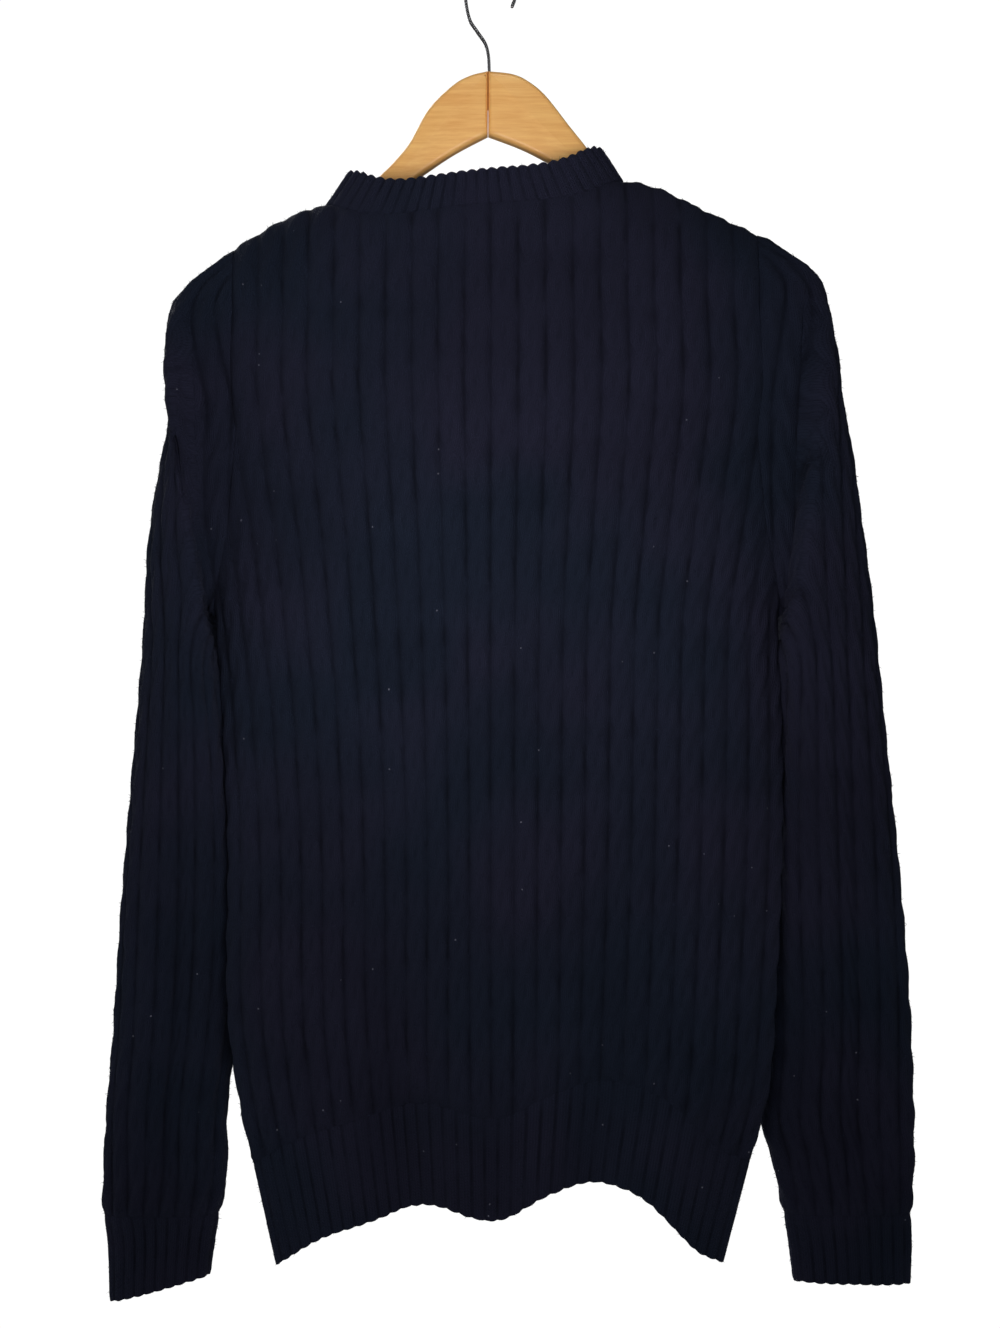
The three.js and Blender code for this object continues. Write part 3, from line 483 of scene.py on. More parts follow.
def shell(outer, inner):
    """Closes an outer and an inner surface, both facing out, into one thin solid."""
    shift = len(outer["p"])
    made = {key: np.concatenate([outer[key], inner[key]]) for key in ("p", "cable", "course", "weight")}
    faces = outer["faces"] + [(a + shift, c + shift, b + shift) for a, b, c in inner["faces"]]
    inner_loops = edge_loops(inner["faces"])
    middles = [inner["p"][loop].mean(0) for loop in inner_loops]
    for loop in edge_loops(outer["faces"]):
        centre = outer["p"][loop].mean(0)
        near = int(np.argmin([np.linalg.norm(m - centre) for m in middles]))
        partner = [v + shift for v in inner_loops[near]]
        faces += rim_faces(made["p"], loop, partner)
    made["faces"] = faces
    return made


def heights_of(bottom, top, step):
    """Heights of a column's points, on courses that all columns share."""
    first = math.ceil((bottom - LOWEST_COURSE + step * CLOSEST) / step)
    last = math.floor((top - LOWEST_COURSE - step * CLOSEST) / step)
    return np.concatenate([[bottom], LOWEST_COURSE + step * np.arange(first, last + 1), [top]])


def seam_weight(distance, ease=EDGE_EASE):
    """How much of its relief the cloth has, at a distance from its seam."""
    return EDGE_RELIEF + (1 - EDGE_RELIEF) * smooth(distance / ease)


def panel_surface(side, per_cable, step, out):
    """A panel's outer surface, or its inner one where out is 0."""
    cables = np.arange(-PANEL_CABLES * per_cable, PANEL_CABLES * per_cable + 1) / per_cable
    tops, bottoms = panel_top(side, cables), hem_edge(side, cables) + HEM_HEIGHT
    heights = [heights_of(b, t, step) for b, t in zip(bottoms, tops)]
    cable = np.repeat(cables, [len(h) for h in heights])
    course = np.concatenate(heights)
    p = seamed(side, panel_point(side, cable, course, np.full(len(cable), out)))
    ends = np.repeat(tops, [len(h) for h in heights]) - course
    starts = course - np.repeat(bottoms, [len(h) for h in heights])
    sides = np.where(np.abs(cable) <= YOKE_CABLES, (YOKE_CABLES - np.abs(cable)) * CABLE_PITCH, EDGE_EASE)
    by_armhole = np.where(course > ARMHOLE["z"][0], sides, EDGE_EASE)
    by_side = (PANEL_CABLES - np.abs(cable)) * CABLE_PITCH
    edge = np.minimum(np.minimum(ends, starts), np.minimum(by_armhole, by_side))
    weight = seam_weight(edge) if out else np.zeros(len(cable))
    weight *= 1 - SHOULDER_SOFT * smooth(1 - ends / SHOULDER_ROLL)
    made = {"p": p, "cable": cable, "course": course, "weight": weight}
    columns, at = [], 0
    for h in heights:
        columns.append({"h": h, **{key: values[at:at + len(h)] for key, values in made.items()}})
        at += len(h)
    return zip_columns(columns[::-1] if side > 0 else columns, False, 4 * step)


def armhole_place(side, left, share):
    top = float(panel_top(side, np.array([left * YOKE_CABLES], float))[0])
    straight = top - ARMHOLE["z"][0]
    scoop = math.hypot(ARMHOLE["z"][0] - ARMHOLE["z"][3], CABLE_PITCH * (PANEL_CABLES - YOKE_CABLES))
    turn = straight / (straight + scoop)
    beyond = clamp01((share - turn) / (1 - turn)) ** SCOOP_EASE
    cable = YOKE_CABLES + (PANEL_CABLES - YOKE_CABLES) * beyond
    h = np.where(share <= turn, top - straight * (share / turn), read(ARMHOLE, "cable", cable, "z"))
    return cable, h


def armhole_point(side, left, share, out):
    """The sleeve's own edge, a gap away from the panel in the cloth's surface."""
    cable, h = armhole_place(side, left, share)
    cable_before, h_before = armhole_place(side, left, np.maximum(0, share - ARMHOLE_STEP))
    cable_after, h_after = armhole_place(side, left, np.minimum(1, share + ARMHOLE_STEP))
    across = (cable_after - cable_before) * CABLE_PITCH
    down = h_before - h_after
    long = np.hypot(across, down)
    moved = cable + (down / long) * RING_GAP / CABLE_PITCH
    return panel_point(side, left * moved, h + (across / long) * RING_GAP, np.full(len(share), out))


def even_ring(ring, count, shrink):
    """A squared ellipse between a ring's outer and inner line, with its columns evenly spread."""
    angle = np.linspace(0, 2 * math.pi, RING_SAMPLES + 1)
    outer = np.array([ring["outX"], ring["y"], ring["outZ"]])
    inner = np.array([ring["inX"], ring["y"], ring["inZ"]])
    reach = (outer - inner) / 2
    reach *= 1 - shrink / np.linalg.norm(reach)
    power = 2 / SECTION_POWER
    cos = np.sign(np.cos(angle)) * np.abs(np.cos(angle)) ** power
    sin = np.sign(np.sin(angle)) * np.abs(np.sin(angle)) ** power
    loop = (outer + inner) / 2 + cos[:, None] * reach + sin[:, None] * np.array([0, ring["half"] - shrink, 0])
    length = np.concatenate([[0], np.cumsum(np.linalg.norm(np.diff(loop, axis=0), axis=1))])
    want = np.arange(count) / count * length[-1]
    return np.stack([np.interp(want, length, loop[:, k]) for k in range(3)], -1)


def table_ring(rows, t):
    indexed = dict(rows, i=np.arange(len(rows["half"]), dtype=float))
    return {column: float(read(indexed, "i", np.array([t]), column)[0]) for column in rows}


def armhole_ring(side, columns, out):
    left = 1 if side == "left" else -1
    turn = np.arange(columns) / columns
    back = armhole_point(1, left, np.minimum(turn * 2, 1), out)
    front = armhole_point(-1, left, np.minimum(2 - turn * 2, 1), out)
    return np.where((turn <= 0.5)[:, None], back, front)


def sleeve_rings(side, count, columns):
    """The sleeve's inner rings, from its armhole to its cuff seam."""
    rows = SLEEVES[side]
    armhole = armhole_ring(side, columns, 0.0)
    turn = np.arange(columns) / columns
    rings = [armhole]
    for r in range(1, count):
        t = r / (count - 1) * len(rows["half"]) - 1
        ring = even_ring(table_ring(rows, max(0.0, t)), columns, SKIN)
        depth = fold_depth(SLEEVE_FOLDS[side], turn * SLEEVE_CABLES, ring[:, 2])
        depth *= smooth((ring[:, 2] - CUFF_SEAM) / FOLD_EASE)
        ring[:, 1] -= np.where(turn < 0.5, 1, -1) * depth
        settle = min(1.0, t + 1)
        rings.append(armhole * (1 - settle) + ring * settle)
    return np.array(rings)


def tube_surface(rings, turn, out, cable, course, weight, level, seam=None):
    """A tube's surface, a distance out from its rings. A level ring moves sideways only."""
    cable, course = np.broadcast_to(cable, rings.shape[:2]), np.broadcast_to(course, rings.shape[:2])
    around = np.roll(rings, -1, 1) - np.roll(rings, 1, 1)
    along = np.concatenate([rings[1:2] - rings[:1], rings[2:] - rings[:-2], rings[-1:] - rings[-2:-1]])
    normal = np.cross(around, along)
    for r in level:
        normal[r, :, 2] = 0
    normal /= np.linalg.norm(normal, axis=-1, keepdims=True)
    p = rings + normal * turn * out
    if seam is not None:
        reach = smooth(np.arange(len(rings)) / (len(rings) * SEAM_EASE))[:, None, None]
        p = p * reach + (rings + seam - rings[0]) * (1 - reach)
    columns = []
    for k in range(rings.shape[1]):
        columns.append({
            "h": -np.arange(len(rings), dtype=float)[::-1],
            "p": p[::-1, k],
            "cable": cable[::-1, k],
            "course": course[::-1, k],
            "weight": weight[::-1, k],
        })
    return zip_columns(columns[::-1] if turn > 0 else columns, True, math.inf)


def tube_shell(rings, turn, cable, course, weight, level, seam, thin):
    """A closed tube of cloth. The inner surface keeps every thin-th column and ring."""
    outer = tube_surface(rings, turn, WALL, cable, course, weight, level, seam)
    keep = sorted(set(range(0, len(rings), thin)) | {len(rings) - 1})
    coarse = rings[keep][:, ::thin]
    level_inner = [len(keep) - 1 if r else 0 for r in level]
    none = np.zeros(coarse.shape[:2])
    inner = tube_surface(coarse, turn, 0.0, none, none, none, level_inner)
    return shell(outer, inner)


def ring_course(rings):
    step = np.linalg.norm(np.diff(rings, axis=0), axis=-1).mean(1)
    return np.concatenate([[0], np.cumsum(step)])


def level_reach(rings, line):
    """Distance of each point from an end line of its ring, along the cloth on a level cut."""
    down = np.maximum.accumulate(-line[:, 2])
    z = rings[..., 2]
    across = np.abs(rings[..., 0] - np.interp(-z, down, line[:, 0]))
    around = np.abs(rings[..., 1] - np.interp(-z, down, line[:, 1]))
    return (across ** ARC_POWER + around ** ARC_POWER) ** (1 / ARC_POWER)


def straight_cables(rings):
    """Cable numbers of a sleeve's points, from its outer line round the back. They hang almost plumb
    over the cap, where they end in the armhole's seam, and follow the sleeve below it."""
    count = rings.shape[1]
    half, quarter = count // 2, count // 4
    x, z = np.abs(rings[..., 0]), rings[..., 2]
    outer = level_reach(rings, rings[:, 0])
    column = np.minimum(np.arange(count), count - np.arange(count))
    number = np.zeros(z.shape)
    for middle, part in ((quarter, slice(0, half + 1)), (count - quarter, slice(half + 1, count))):
        down = np.maximum.accumulate(-z[:, middle])
        at, reach = (np.interp(-UNDERARM, down, v[:, middle]) for v in (x, outer))
        plumb = at - CAP_SLANT * (z[:, part] - UNDERARM)
        near = (np.abs(x[:, part] - plumb) < NEAR_PLUMB) & (z[:, part] > UNDERARM - CAP_EASE)
        level, found = z[:, part][near], outer[:, part][near]
        within = np.clip(z[:, part], UNDERARM, level.max() - NEAR_PLUMB)
        along = np.polyval(np.polyfit(level, found, CAP_CURVE), within)
        number[:, part] = SLEEVE_CABLES / 4 * (1 + (outer[:, part] - along) / reach)
    below = smooth((CAP_END - z) / CAP_EASE)
    number = number * (1 - below) + column / half * SLEEVE_CABLES / 2 * below
    return np.where(np.arange(count) <= half, number, -number)


def sleeve_shell(side):
    columns = SLEEVE_CABLES * CABLE_COLUMNS
    rings = sleeve_rings(side, SLEEVE_RINGS, columns)
    length = ring_course(rings)
    cable = straight_cables(rings)
    weight = np.repeat(seam_weight(np.minimum(length, length[-1] - length))[:, None], columns, 1)
    course = -rings[..., 2]
    turn = -1 if side == "left" else 1
    seam = armhole_ring(side, columns, WALL)
    return tube_shell(rings, turn, cable, course, weight, [len(rings) - 1], seam, SLEEVE_THIN)


def cuff_shell(side):
    rows = CUFFS[side]
    girth = ring_length(even_ring(table_ring(rows, 0.0), GIRTH_COLUMNS, SKIN))
    ribs = round(girth / RIB_PITCH)
    columns = ribs * RIB_COLUMNS
    steps = np.linspace(0, len(rows["half"]) - 1, CUFF_RINGS)
    rings = np.array([even_ring(table_ring(rows, t), columns, SKIN) for t in steps])
    rings[0, :, 2] -= SEAM_GAP
    course = ring_course(rings)
    weight = np.repeat(seam_weight(course)[:, None], columns, 1)
    turn = -1 if side == "left" else 1
    cable = np.arange(columns) / RIB_COLUMNS
    return tube_shell(rings, turn, cable, course[:, None], weight, [0], None, RIB_THIN)


def ring_length(ring):
    return np.linalg.norm(np.roll(ring, -1, 0) - ring, axis=1).sum()


def neckline_place(t):
    """Side, cable and height round the neckline, from the left shoulder over the back."""
    cable = NECK_MIDDLE + NECK_CABLES * np.cos(t * 2 * math.pi)
    back = t <= 0.5
    return cable, np.where(back, panel_top(1, cable), panel_top(-1, cable))


def neckline(count, out):
    """The neckband's own edge, a gap away from the panels in the cloth's surface."""
    t = np.arange(NECK_SAMPLES + 1) / NECK_SAMPLES
    back = t <= 0.5
    cable, h = neckline_place(t)
    cable_before, h_before = neckline_place(np.maximum(np.where(back, 0, FRONT_STARTS), t - NECK_STEP))
    cable_after, h_after = neckline_place(np.minimum(np.where(back, 0.5, 1), t + NECK_STEP))
    across = np.abs(cable_after - cable_before) * CABLE_PITCH
    along = np.abs(h_after - h_before)
    long = np.hypot(across, along)
    cable = cable + np.sign(NECK_MIDDLE - cable) * (along / long) * RING_GAP / CABLE_PITCH
    h = h + (across / long) * RING_GAP
    outs = np.full(len(t), out)
    path = np.where(back[:, None], panel_point(1, cable, h, outs), panel_point(-1, cable, h, outs))
    length = np.concatenate([[0], np.cumsum(np.linalg.norm(np.diff(path, axis=0), axis=1))])
    want = np.arange(count) / count * length[-1]
    return np.stack([np.interp(want, length, path[:, k]) for k in range(3)], -1)


def neckband_shell():
    ribs = round(ring_length(neckline(NECK_COLUMNS, 0.0)) / RIB_PITCH)
    columns = ribs * RIB_COLUMNS
    seam = neckline(columns, 0.0)
    middle = seam.mean(0)
    rings = []
    for share in np.linspace(0, 1, NECKBAND_RINGS):
        ring = seam.copy()
        ring[:, 0] = middle[0] + (seam[:, 0] - middle[0]) * (1 - NECKBAND_LEAN * share)
        ring[:, 2] += NECKBAND_HEIGHT * share
        rings.append(ring)
    rings = np.array(rings)
    course = ring_course(rings)
    weight = np.repeat(seam_weight(course, NECKBAND_HEIGHT)[:, None], columns, 1)
    cable = np.arange(columns) / RIB_COLUMNS
    return tube_shell(rings, 1, cable, course[:, None], weight, [], neckline(columns, WALL), RIB_THIN)


def hem_surface(side, columns, rows, out):
    ribs = round(2 * PANEL_CABLES * HEM_CABLE_PITCH / RIB_PITCH)
    made = []
    for k in range(columns * ribs + 1):
        rib = k / columns
        cable = np.full(rows, PANEL_CABLES * (2 * rib / ribs - 1))
        share = np.linspace(0, 1, rows)
        h = hem_edge(side, cable) + (HEM_HEIGHT - HEM_GAP) * share
        p = seamed(side, panel_point(side, cable, h, np.full(rows, out)))
        edge = min(rib, ribs - rib) * RIB_PITCH
        weight = seam_weight(np.minimum((1 - share) * HEM_HEIGHT, edge)) if out else np.zeros(rows)
        column = {"h": share, "p": p, "cable": np.full(rows, rib), "course": share * HEM_HEIGHT}
        made.append({**column, "weight": weight})
    return zip_columns(made[::-1] if side > 0 else made, False, 1)


def hem_shell(side):
    inner = hem_surface(side, INNER_COLUMNS, HEM_INNER_ROWS, 0.0)
    return shell(hem_surface(side, RIB_COLUMNS, HEM_ROWS, WALL), inner)


def node(tree, kind, inputs=None, **settings):
    """Adds a node. An input takes a value, a socket, or a node, which gives its first output."""
    made = tree.nodes.new(kind)
    for name, value in settings.items():
        setattr(made, name, value)
    for key, value in (inputs or {}).items():
        if isinstance(value, bpy.types.Node):
            value = value.outputs[0]
        if isinstance(value, bpy.types.NodeSocket):
            tree.links.new(value, made.inputs[key])
        else:
            made.inputs[key].default_value = value
    return made


def new_tree(name, sizes, result):
    """A tree that takes a piece of cloth and named sizes, and what its input node gives."""
    tree = bpy.data.node_groups.new(name, "GeometryNodeTree")
    tree.interface.new_socket("Cloth", in_out="INPUT", socket_type="NodeSocketGeometry")
    tree.interface.new_socket(result, in_out="OUTPUT", socket_type="NodeSocketGeometry")
    for size in sizes:
        tree.interface.new_socket(size, in_out="INPUT", socket_type="NodeSocketFloat")
    return tree, node(tree, "NodeGroupInput").outputs


def end_tree(tree, grown, finish, result):
    real = node(tree, "GeometryNodeRealizeInstances", {"Geometry": grown})
    finished = node(tree, "GeometryNodeSetMaterial", {"Geometry": real, "Material": finish})
    node(tree, "NodeGroupOutput", {result: finished})
    return tree


def relief_tree(name, sizes, height_of, finish):
    """A tree that raises a shell's outer points by a rule, read from their cable, course and weight."""
    tree, given = new_tree(name, sizes, "Cloth")
    named = {
        key: node(tree, "GeometryNodeInputNamedAttribute", {"Name": key}, data_type="FLOAT")
        for key in ("cable", "course", "weight")
    }
    height, strand = height_of(tree, given, named)
    raised_by = node(tree, "ShaderNodeMath", {0: height, 1: named["weight"]}, operation="MULTIPLY")
    rise = node(tree, "ShaderNodeMath", {0: raised_by, 1: given["Relief"]}, operation="MULTIPLY")
    wool = node(tree, "ShaderNodeTexNoise", {"Scale": given["Wool scale"], "Detail": 2.0})
    uneven = node(tree, "ShaderNodeMath", {0: wool.outputs["Fac"], 1: 0.5}, operation="SUBTRACT")
    fluff = node(tree, "ShaderNodeMath", {0: uneven, 1: given["Wool"]}, operation="MULTIPLY")
    loose = node(tree, "ShaderNodeMath", {0: fluff, 1: named["weight"], 2: rise}, operation="MULTIPLY_ADD")
    normal = node(tree, "GeometryNodeInputNormal")
    offset = node(tree, "ShaderNodeVectorMath", {0: normal, "Scale": loose}, operation="SCALE")
    kept = given["Cloth"]
    for key, value in (("crest", height), ("strand", strand)):
        kept = node(tree, "GeometryNodeStoreNamedAttribute", {"Geometry": kept, "Name": key, "Value": value})
    moved = node(tree, "GeometryNodeSetPosition", {"Geometry": kept, "Offset": offset})
    return end_tree(tree, moved, finish, "Cloth")


def from_middle(tree, named):
    """How far across its cable or rib a point is, from -0.5 to 0.5."""
    part = node(tree, "ShaderNodeMath", {0: named["cable"]}, operation="FRACT")
    return node(tree, "ShaderNodeMath", {0: part, 1: 0.5}, operation="SUBTRACT")


def hump(tree, place, power):
    """A rise over places from -1 to 1, squarer where the power is lower."""
    square = node(tree, "ShaderNodeMath", {0: place, 1: place}, operation="MULTIPLY")
    left = node(tree, "ShaderNodeMath", {0: 1.0, 1: square}, operation="SUBTRACT", use_clamp=True)
    return node(tree, "ShaderNodeMath", {0: left, 1: power}, operation="POWER")


def cable_height(tree, sizes, named):
    """Two strands that cross over each other, again and again, with a narrow valley beside them."""
    across = from_middle(tree, named)
    crossings = node(tree, "ShaderNodeMath", {0: named["course"], 1: sizes["Crossing"]}, operation="DIVIDE")
    turn = node(tree, "ShaderNodeMath", {0: crossings, 1: math.pi}, operation="MULTIPLY")
    sideways = node(tree, "ShaderNodeMath", {0: turn}, operation="COSINE")
    swing = node(tree, "ShaderNodeMath", {0: sideways, 1: sizes["Reach"]}, operation="MULTIPLY")
    under = node(tree, "ShaderNodeMath", {0: turn}, operation="SINE")
    dive = node(tree, "ShaderNodeMath", {0: under, 1: sizes["Dive"]}, operation="MULTIPLY")
    strands = []
    for way, lift in (("SUBTRACT", "ADD"), ("ADD", "SUBTRACT")):
        beside = node(tree, "ShaderNodeMath", {0: across, 1: swing}, operation=way)
        place = node(tree, "ShaderNodeMath", {0: beside, 1: sizes["Half strand"]}, operation="DIVIDE")
        over = node(tree, "ShaderNodeMath", {0: 1.0, 1: dive}, operation=lift)
        round_ = hump(tree, place, STRAND_ROUND)
        rise = node(tree, "ShaderNodeMath", {0: round_, 1: over}, operation="MULTIPLY")
        strands.append((place, rise))
    width = node(tree, "ShaderNodeMath", {0: across, 1: sizes["Half bed"]}, operation="DIVIDE")
    low = hump(tree, width, BED_ROUND)
    bed = node(tree, "ShaderNodeMath", {0: low, 1: sizes["Bed"]}, operation="MULTIPLY")
    top = node(tree, "ShaderNodeMath", {0: strands[0][1], 1: strands[1][1]}, operation="MAXIMUM")
    height = node(tree, "ShaderNodeMath", {0: top, 1: bed}, operation="MAXIMUM")
    first = node(tree, "ShaderNodeMath", {0: strands[0][1], 1: strands[1][1]}, operation="GREATER_THAN")
    strand = node(tree, "ShaderNodeMix", {0: first, 2: strands[1][0], 3: strands[0][0]}, data_type="FLOAT")
    return height, strand


def rib_height(tree, sizes, named):
    """Round ribs with narrow valleys between them."""
    across = from_middle(tree, named)
    place = node(tree, "ShaderNodeMath", {0: across, 1: sizes["Half rib"]}, operation="DIVIDE")
    return hump(tree, place, STRAND_ROUND), place


def new_piece(name, p, faces):
    """A smooth mesh object at the origin, from points in metres."""
    mesh = bpy.data.meshes.new(name)
    mesh.from_pydata(p.tolist(), [], faces)
    mesh.polygons.foreach_set("use_smooth", [True] * len(mesh.polygons))
    piece = bpy.data.objects.new(name, mesh)
    bpy.context.scene.collection.objects.link(piece)
    return piece


def mesh_object(name, surface):
    piece = new_piece(name, swept(surface["p"]) * MM, surface["faces"])
    for key in ("cable", "course", "weight"):
        values = surface[key] * (MM if key == "course" else 1)
        piece.data.attributes.new(key, "FLOAT", "POINT").data.foreach_set("value", values.astype(np.float32))
    return piece


def raised(piece, tree, sizes):
    """Runs a tree on a piece and keeps the result as its plain mesh."""
    run = piece.modifiers.new(tree.name, "NODES")
    run.node_group = tree
    for socket in tree.interface.items_tree:
        if socket.in_out == "INPUT" and socket.name in sizes:
            run[socket.identifier] = sizes[socket.name]
    graph = bpy.context.evaluated_depsgraph_get()
    mesh = bpy.data.meshes.new_from_object(piece.evaluated_get(graph))
    piece.modifiers.remove(run)
    old, piece.data = piece.data, mesh
    bpy.data.meshes.remove(old)
    mesh.name = piece.name
    mesh.set_sharp_from_angle(angle=math.radians(CLOTH_SHARP))
    return piece


def linear(hex_colour):
    """An sRGB hex colour as linear red, green, blue and alpha."""
    parts = [int(hex_colour[i:i + 2], 16) / 255 for i in (1, 3, 5)]
    return [c / 12.92 if c <= 0.04045 else ((c + 0.055) / 1.055) ** 2.4 for c in parts] + [1.0]


# The Scale of each noise and Voronoi pattern in the materials is its number of cells to a metre.
def material(name):
    made = bpy.data.materials.new(name)
    made.use_nodes = True
    made.node_tree.nodes.clear()
    return made


def knit_material(name, stitches, row):
    """Merino yarn, machine knitted: matt and dark, with a faint bloom of loose fibres, small V stitches,
    painted shade in the valleys and in the stitch grooves, and sparse pale specks."""
    made = material(name)
    tree = made.node_tree
    strand = node(tree, "ShaderNodeAttribute", attribute_name="strand").outputs["Fac"]
    course = node(tree, "ShaderNodeAttribute", attribute_name="course").outputs["Fac"]
    crest = node(tree, "ShaderNodeAttribute", attribute_name="crest").outputs["Fac"]
    place = node(tree, "ShaderNodeTexCoord").outputs["Object"]
    column = node(tree, "ShaderNodeMath", {0: strand, 1: stitches / 2}, operation="MULTIPLY")
    part = node(tree, "ShaderNodeMath", {0: column}, operation="FRACT")
    beside = node(tree, "ShaderNodeMath", {0: part, 1: 0.5}, operation="SUBTRACT")
    away = node(tree, "ShaderNodeMath", {0: beside}, operation="ABSOLUTE")
    up = node(tree, "ShaderNodeMath", {0: course, 1: row * MM}, operation="DIVIDE")
    slant = node(tree, "ShaderNodeMath", {0: away, 1: 1.5, 2: up}, operation="MULTIPLY_ADD")
    wave = node(tree, "ShaderNodeMath", {0: slant, 1: 2 * math.pi}, operation="MULTIPLY")
    loop = node(tree, "ShaderNodeMath", {0: wave}, operation="SINE")
    groove = node(tree, "ShaderNodeMath", {0: away, 1: 2 * math.pi}, operation="MULTIPLY")
    leg = node(tree, "ShaderNodeMath", {0: groove}, operation="SINE")
    stitch = node(tree, "ShaderNodeMath", {0: loop, 1: 0.35, 2: leg}, operation="MULTIPLY_ADD")
    fibres = node(
        tree, "ShaderNodeTexNoise",
        {"Vector": place, "Scale": 900.0, "Detail": 3.0, "Roughness": 0.7},
    )
    fuzz = fibres.outputs["Fac"]
    rough = node(tree, "ShaderNodeMath", {0: fuzz, 1: 0.9, 2: stitch}, operation="MULTIPLY_ADD")
    bump = node(tree, "ShaderNodeBump", {"Height": rough, "Strength": 0.55, "Distance": 0.6 * MM})
    patches = node(tree, "ShaderNodeTexNoise", {"Vector": place, "Scale": 14.0, "Detail": 4.0})
    faded = node(tree, "ShaderNodeTexNoise", {"Vector": place, "Scale": 7.0, "Detail": 2.0})
    share = node(tree, "ShaderNodeMapRange", {"Value": faded.outputs["Fac"], 1: 0.4, 2: 0.6})
    yarn = node(
        tree, "ShaderNodeMix", {"Factor": share, 6: linear("#161d2a"), 7: linear("#1a1c2a")}, data_type="RGBA"
    )
    # Painted shade in the valleys: the colour darkens where the relief's crest is low, and a noise makes this
    # painted shade deeper in some places than others.
    valley_shade_noise = node(tree, "ShaderNodeTexNoise", {"Vector": place, "Scale": 45.0, "Detail": 2.0})
    deep = node(tree, "ShaderNodeMapRange", {"Value": valley_shade_noise.outputs["Fac"], 1: 0.35, 2: 0.65, 3: 0.5, 4: 1.0})
    shade = node(tree, "ShaderNodeMapRange", {"Value": crest, 1: 0.0, 2: 0.55, 3: deep, 4: 1.0})
    patchy = patches.outputs["Fac"]
    tone = node(tree, "ShaderNodeMapRange", {"Value": patchy, 1: 0.3, 2: 0.7, 3: 0.85, 4: 1.15})
    # Painted shade in the stitch grooves: the colour follows the stitch bump and is darker where it is low,
    # mixed with a random fibre tone from the fuzz noise.
    stitch_shade_and_fibre_tone = node(tree, "ShaderNodeMapRange", {"Value": rough, 1: -0.6, 2: 1.6, 3: 0.75, 4: 1.2})
    depth = node(tree, "ShaderNodeMath", {0: shade, 1: tone}, operation="MULTIPLY")
    amount = node(tree, "ShaderNodeMath", {0: depth, 1: stitch_shade_and_fibre_tone}, operation="MULTIPLY")
    colour = node(
        tree, "ShaderNodeMix", {"Factor": 1.0, 6: yarn.outputs[2], 7: amount},
        data_type="RGBA", blend_type="MULTIPLY",
    )
    # Sparse small pale grey specks, scattered at random over the cloth.
    flecks = node(
        tree, "ShaderNodeTexVoronoi", {"Vector": place, "Scale": 95.0, "Randomness": 1.0}
    )
    near = node(tree, "ShaderNodeMath", {0: flecks.outputs["Distance"], 1: 0.055}, operation="LESS_THAN")
    picked = node(tree, "ShaderNodeSeparateColor", {"Color": flecks.outputs["Color"]})
    few = node(tree, "ShaderNodeMath", {0: picked, 1: 0.16}, operation="LESS_THAN")
    speck = node(tree, "ShaderNodeMath", {0: near, 1: few}, operation="MULTIPLY")
    pale_specked = node(
        tree, "ShaderNodeMix", {"Factor": speck, 6: colour.outputs[2], 7: linear("#5b5f6c")}, data_type="RGBA"
    )
    surface = node(tree, "ShaderNodeBsdfPrincipled", {
        "Base Color": pale_specked.outputs[2],
        "Roughness": 0.95,
        "IOR": 1.4,
        "Specular IOR Level": 0.08,
        "Sheen Weight": 0.06,
        "Sheen Roughness": 0.45,
        "Sheen Tint": linear("#8d94b8"),
        "Normal": bump,
    })
    node(tree, "ShaderNodeOutputMaterial", {"Surface": surface})
    return made


def fibre_material():
    """Loose merino fibres: fine, springy and dull, a faint grey bloom on the outline of the cloth."""
    made = material("merino_fibres")
    tree = made.node_tree
    place = node(tree, "ShaderNodeTexCoord").outputs["Object"]
    bleached = node(tree, "ShaderNodeTexNoise", {"Vector": place, "Scale": 300.0, "Detail": 1.0})
    share = node(tree, "ShaderNodeMapRange", {"Value": bleached.outputs["Fac"], 1: 0.3, 2: 0.7})
    colour = node(
        tree, "ShaderNodeMix", {"Factor": share, 6: linear("#141927"), 7: linear("#232a3d")}, data_type="RGBA"
    )
    surface = node(tree, "ShaderNodeBsdfPrincipled", {
        "Base Color": colour.outputs[2],
        "Roughness": 0.9,
        "Specular IOR Level": 0.1,
    })
    node(tree, "ShaderNodeOutputMaterial", {"Surface": surface})
    return made


def fibre_tree(sizes, finish):
    """A tree that turns a shell into loose fibres, which lean every way out of its raised side."""
    tree, given = new_tree("Fibres", sizes, "Fibres")
    weight = node(tree, "GeometryNodeInputNamedAttribute", {"Name": "weight"}, data_type="FLOAT")
    outside = node(tree, "ShaderNodeMath", {0: weight, 1: 0.1}, operation="GREATER_THAN")
    roots = node(
        tree, "GeometryNodeDistributePointsOnFaces",
        {"Mesh": given["Cloth"], "Selection": outside, "Density": given["Each square metre"], "Seed": 7},
    )
    fibre = node(tree, "GeometryNodeMeshCone", {
        "Vertices": 3,
        "Radius Top": 0.0,
        "Radius Bottom": given["Radius"],
        "Depth": given["Length"],
    })
    tilt = node(tree, "FunctionNodeRandomValue", {
        "Min": (-FIBRE_LEAN, -FIBRE_LEAN, -FIBRE_TURN),
        "Max": (FIBRE_LEAN, FIBRE_LEAN, FIBRE_TURN),
        "Seed": 11,
    }, data_type="FLOAT_VECTOR")
    leaning = node(
        tree, "FunctionNodeRotateRotation", {"Rotation": roots.outputs["Rotation"], "Rotate By": tilt},
        rotation_space="LOCAL",
    )
    size = node(tree, "FunctionNodeRandomValue", {2: SHORTEST_FIBRE, 3: 1.0, "Seed": 13}, data_type="FLOAT")
    grown = node(tree, "GeometryNodeInstanceOnPoints", {
        "Points": roots,
        "Instance": fibre,
        "Rotation": leaning,
        "Scale": size.outputs[1],
    })
    return end_tree(tree, grown, finish, "Fibres")


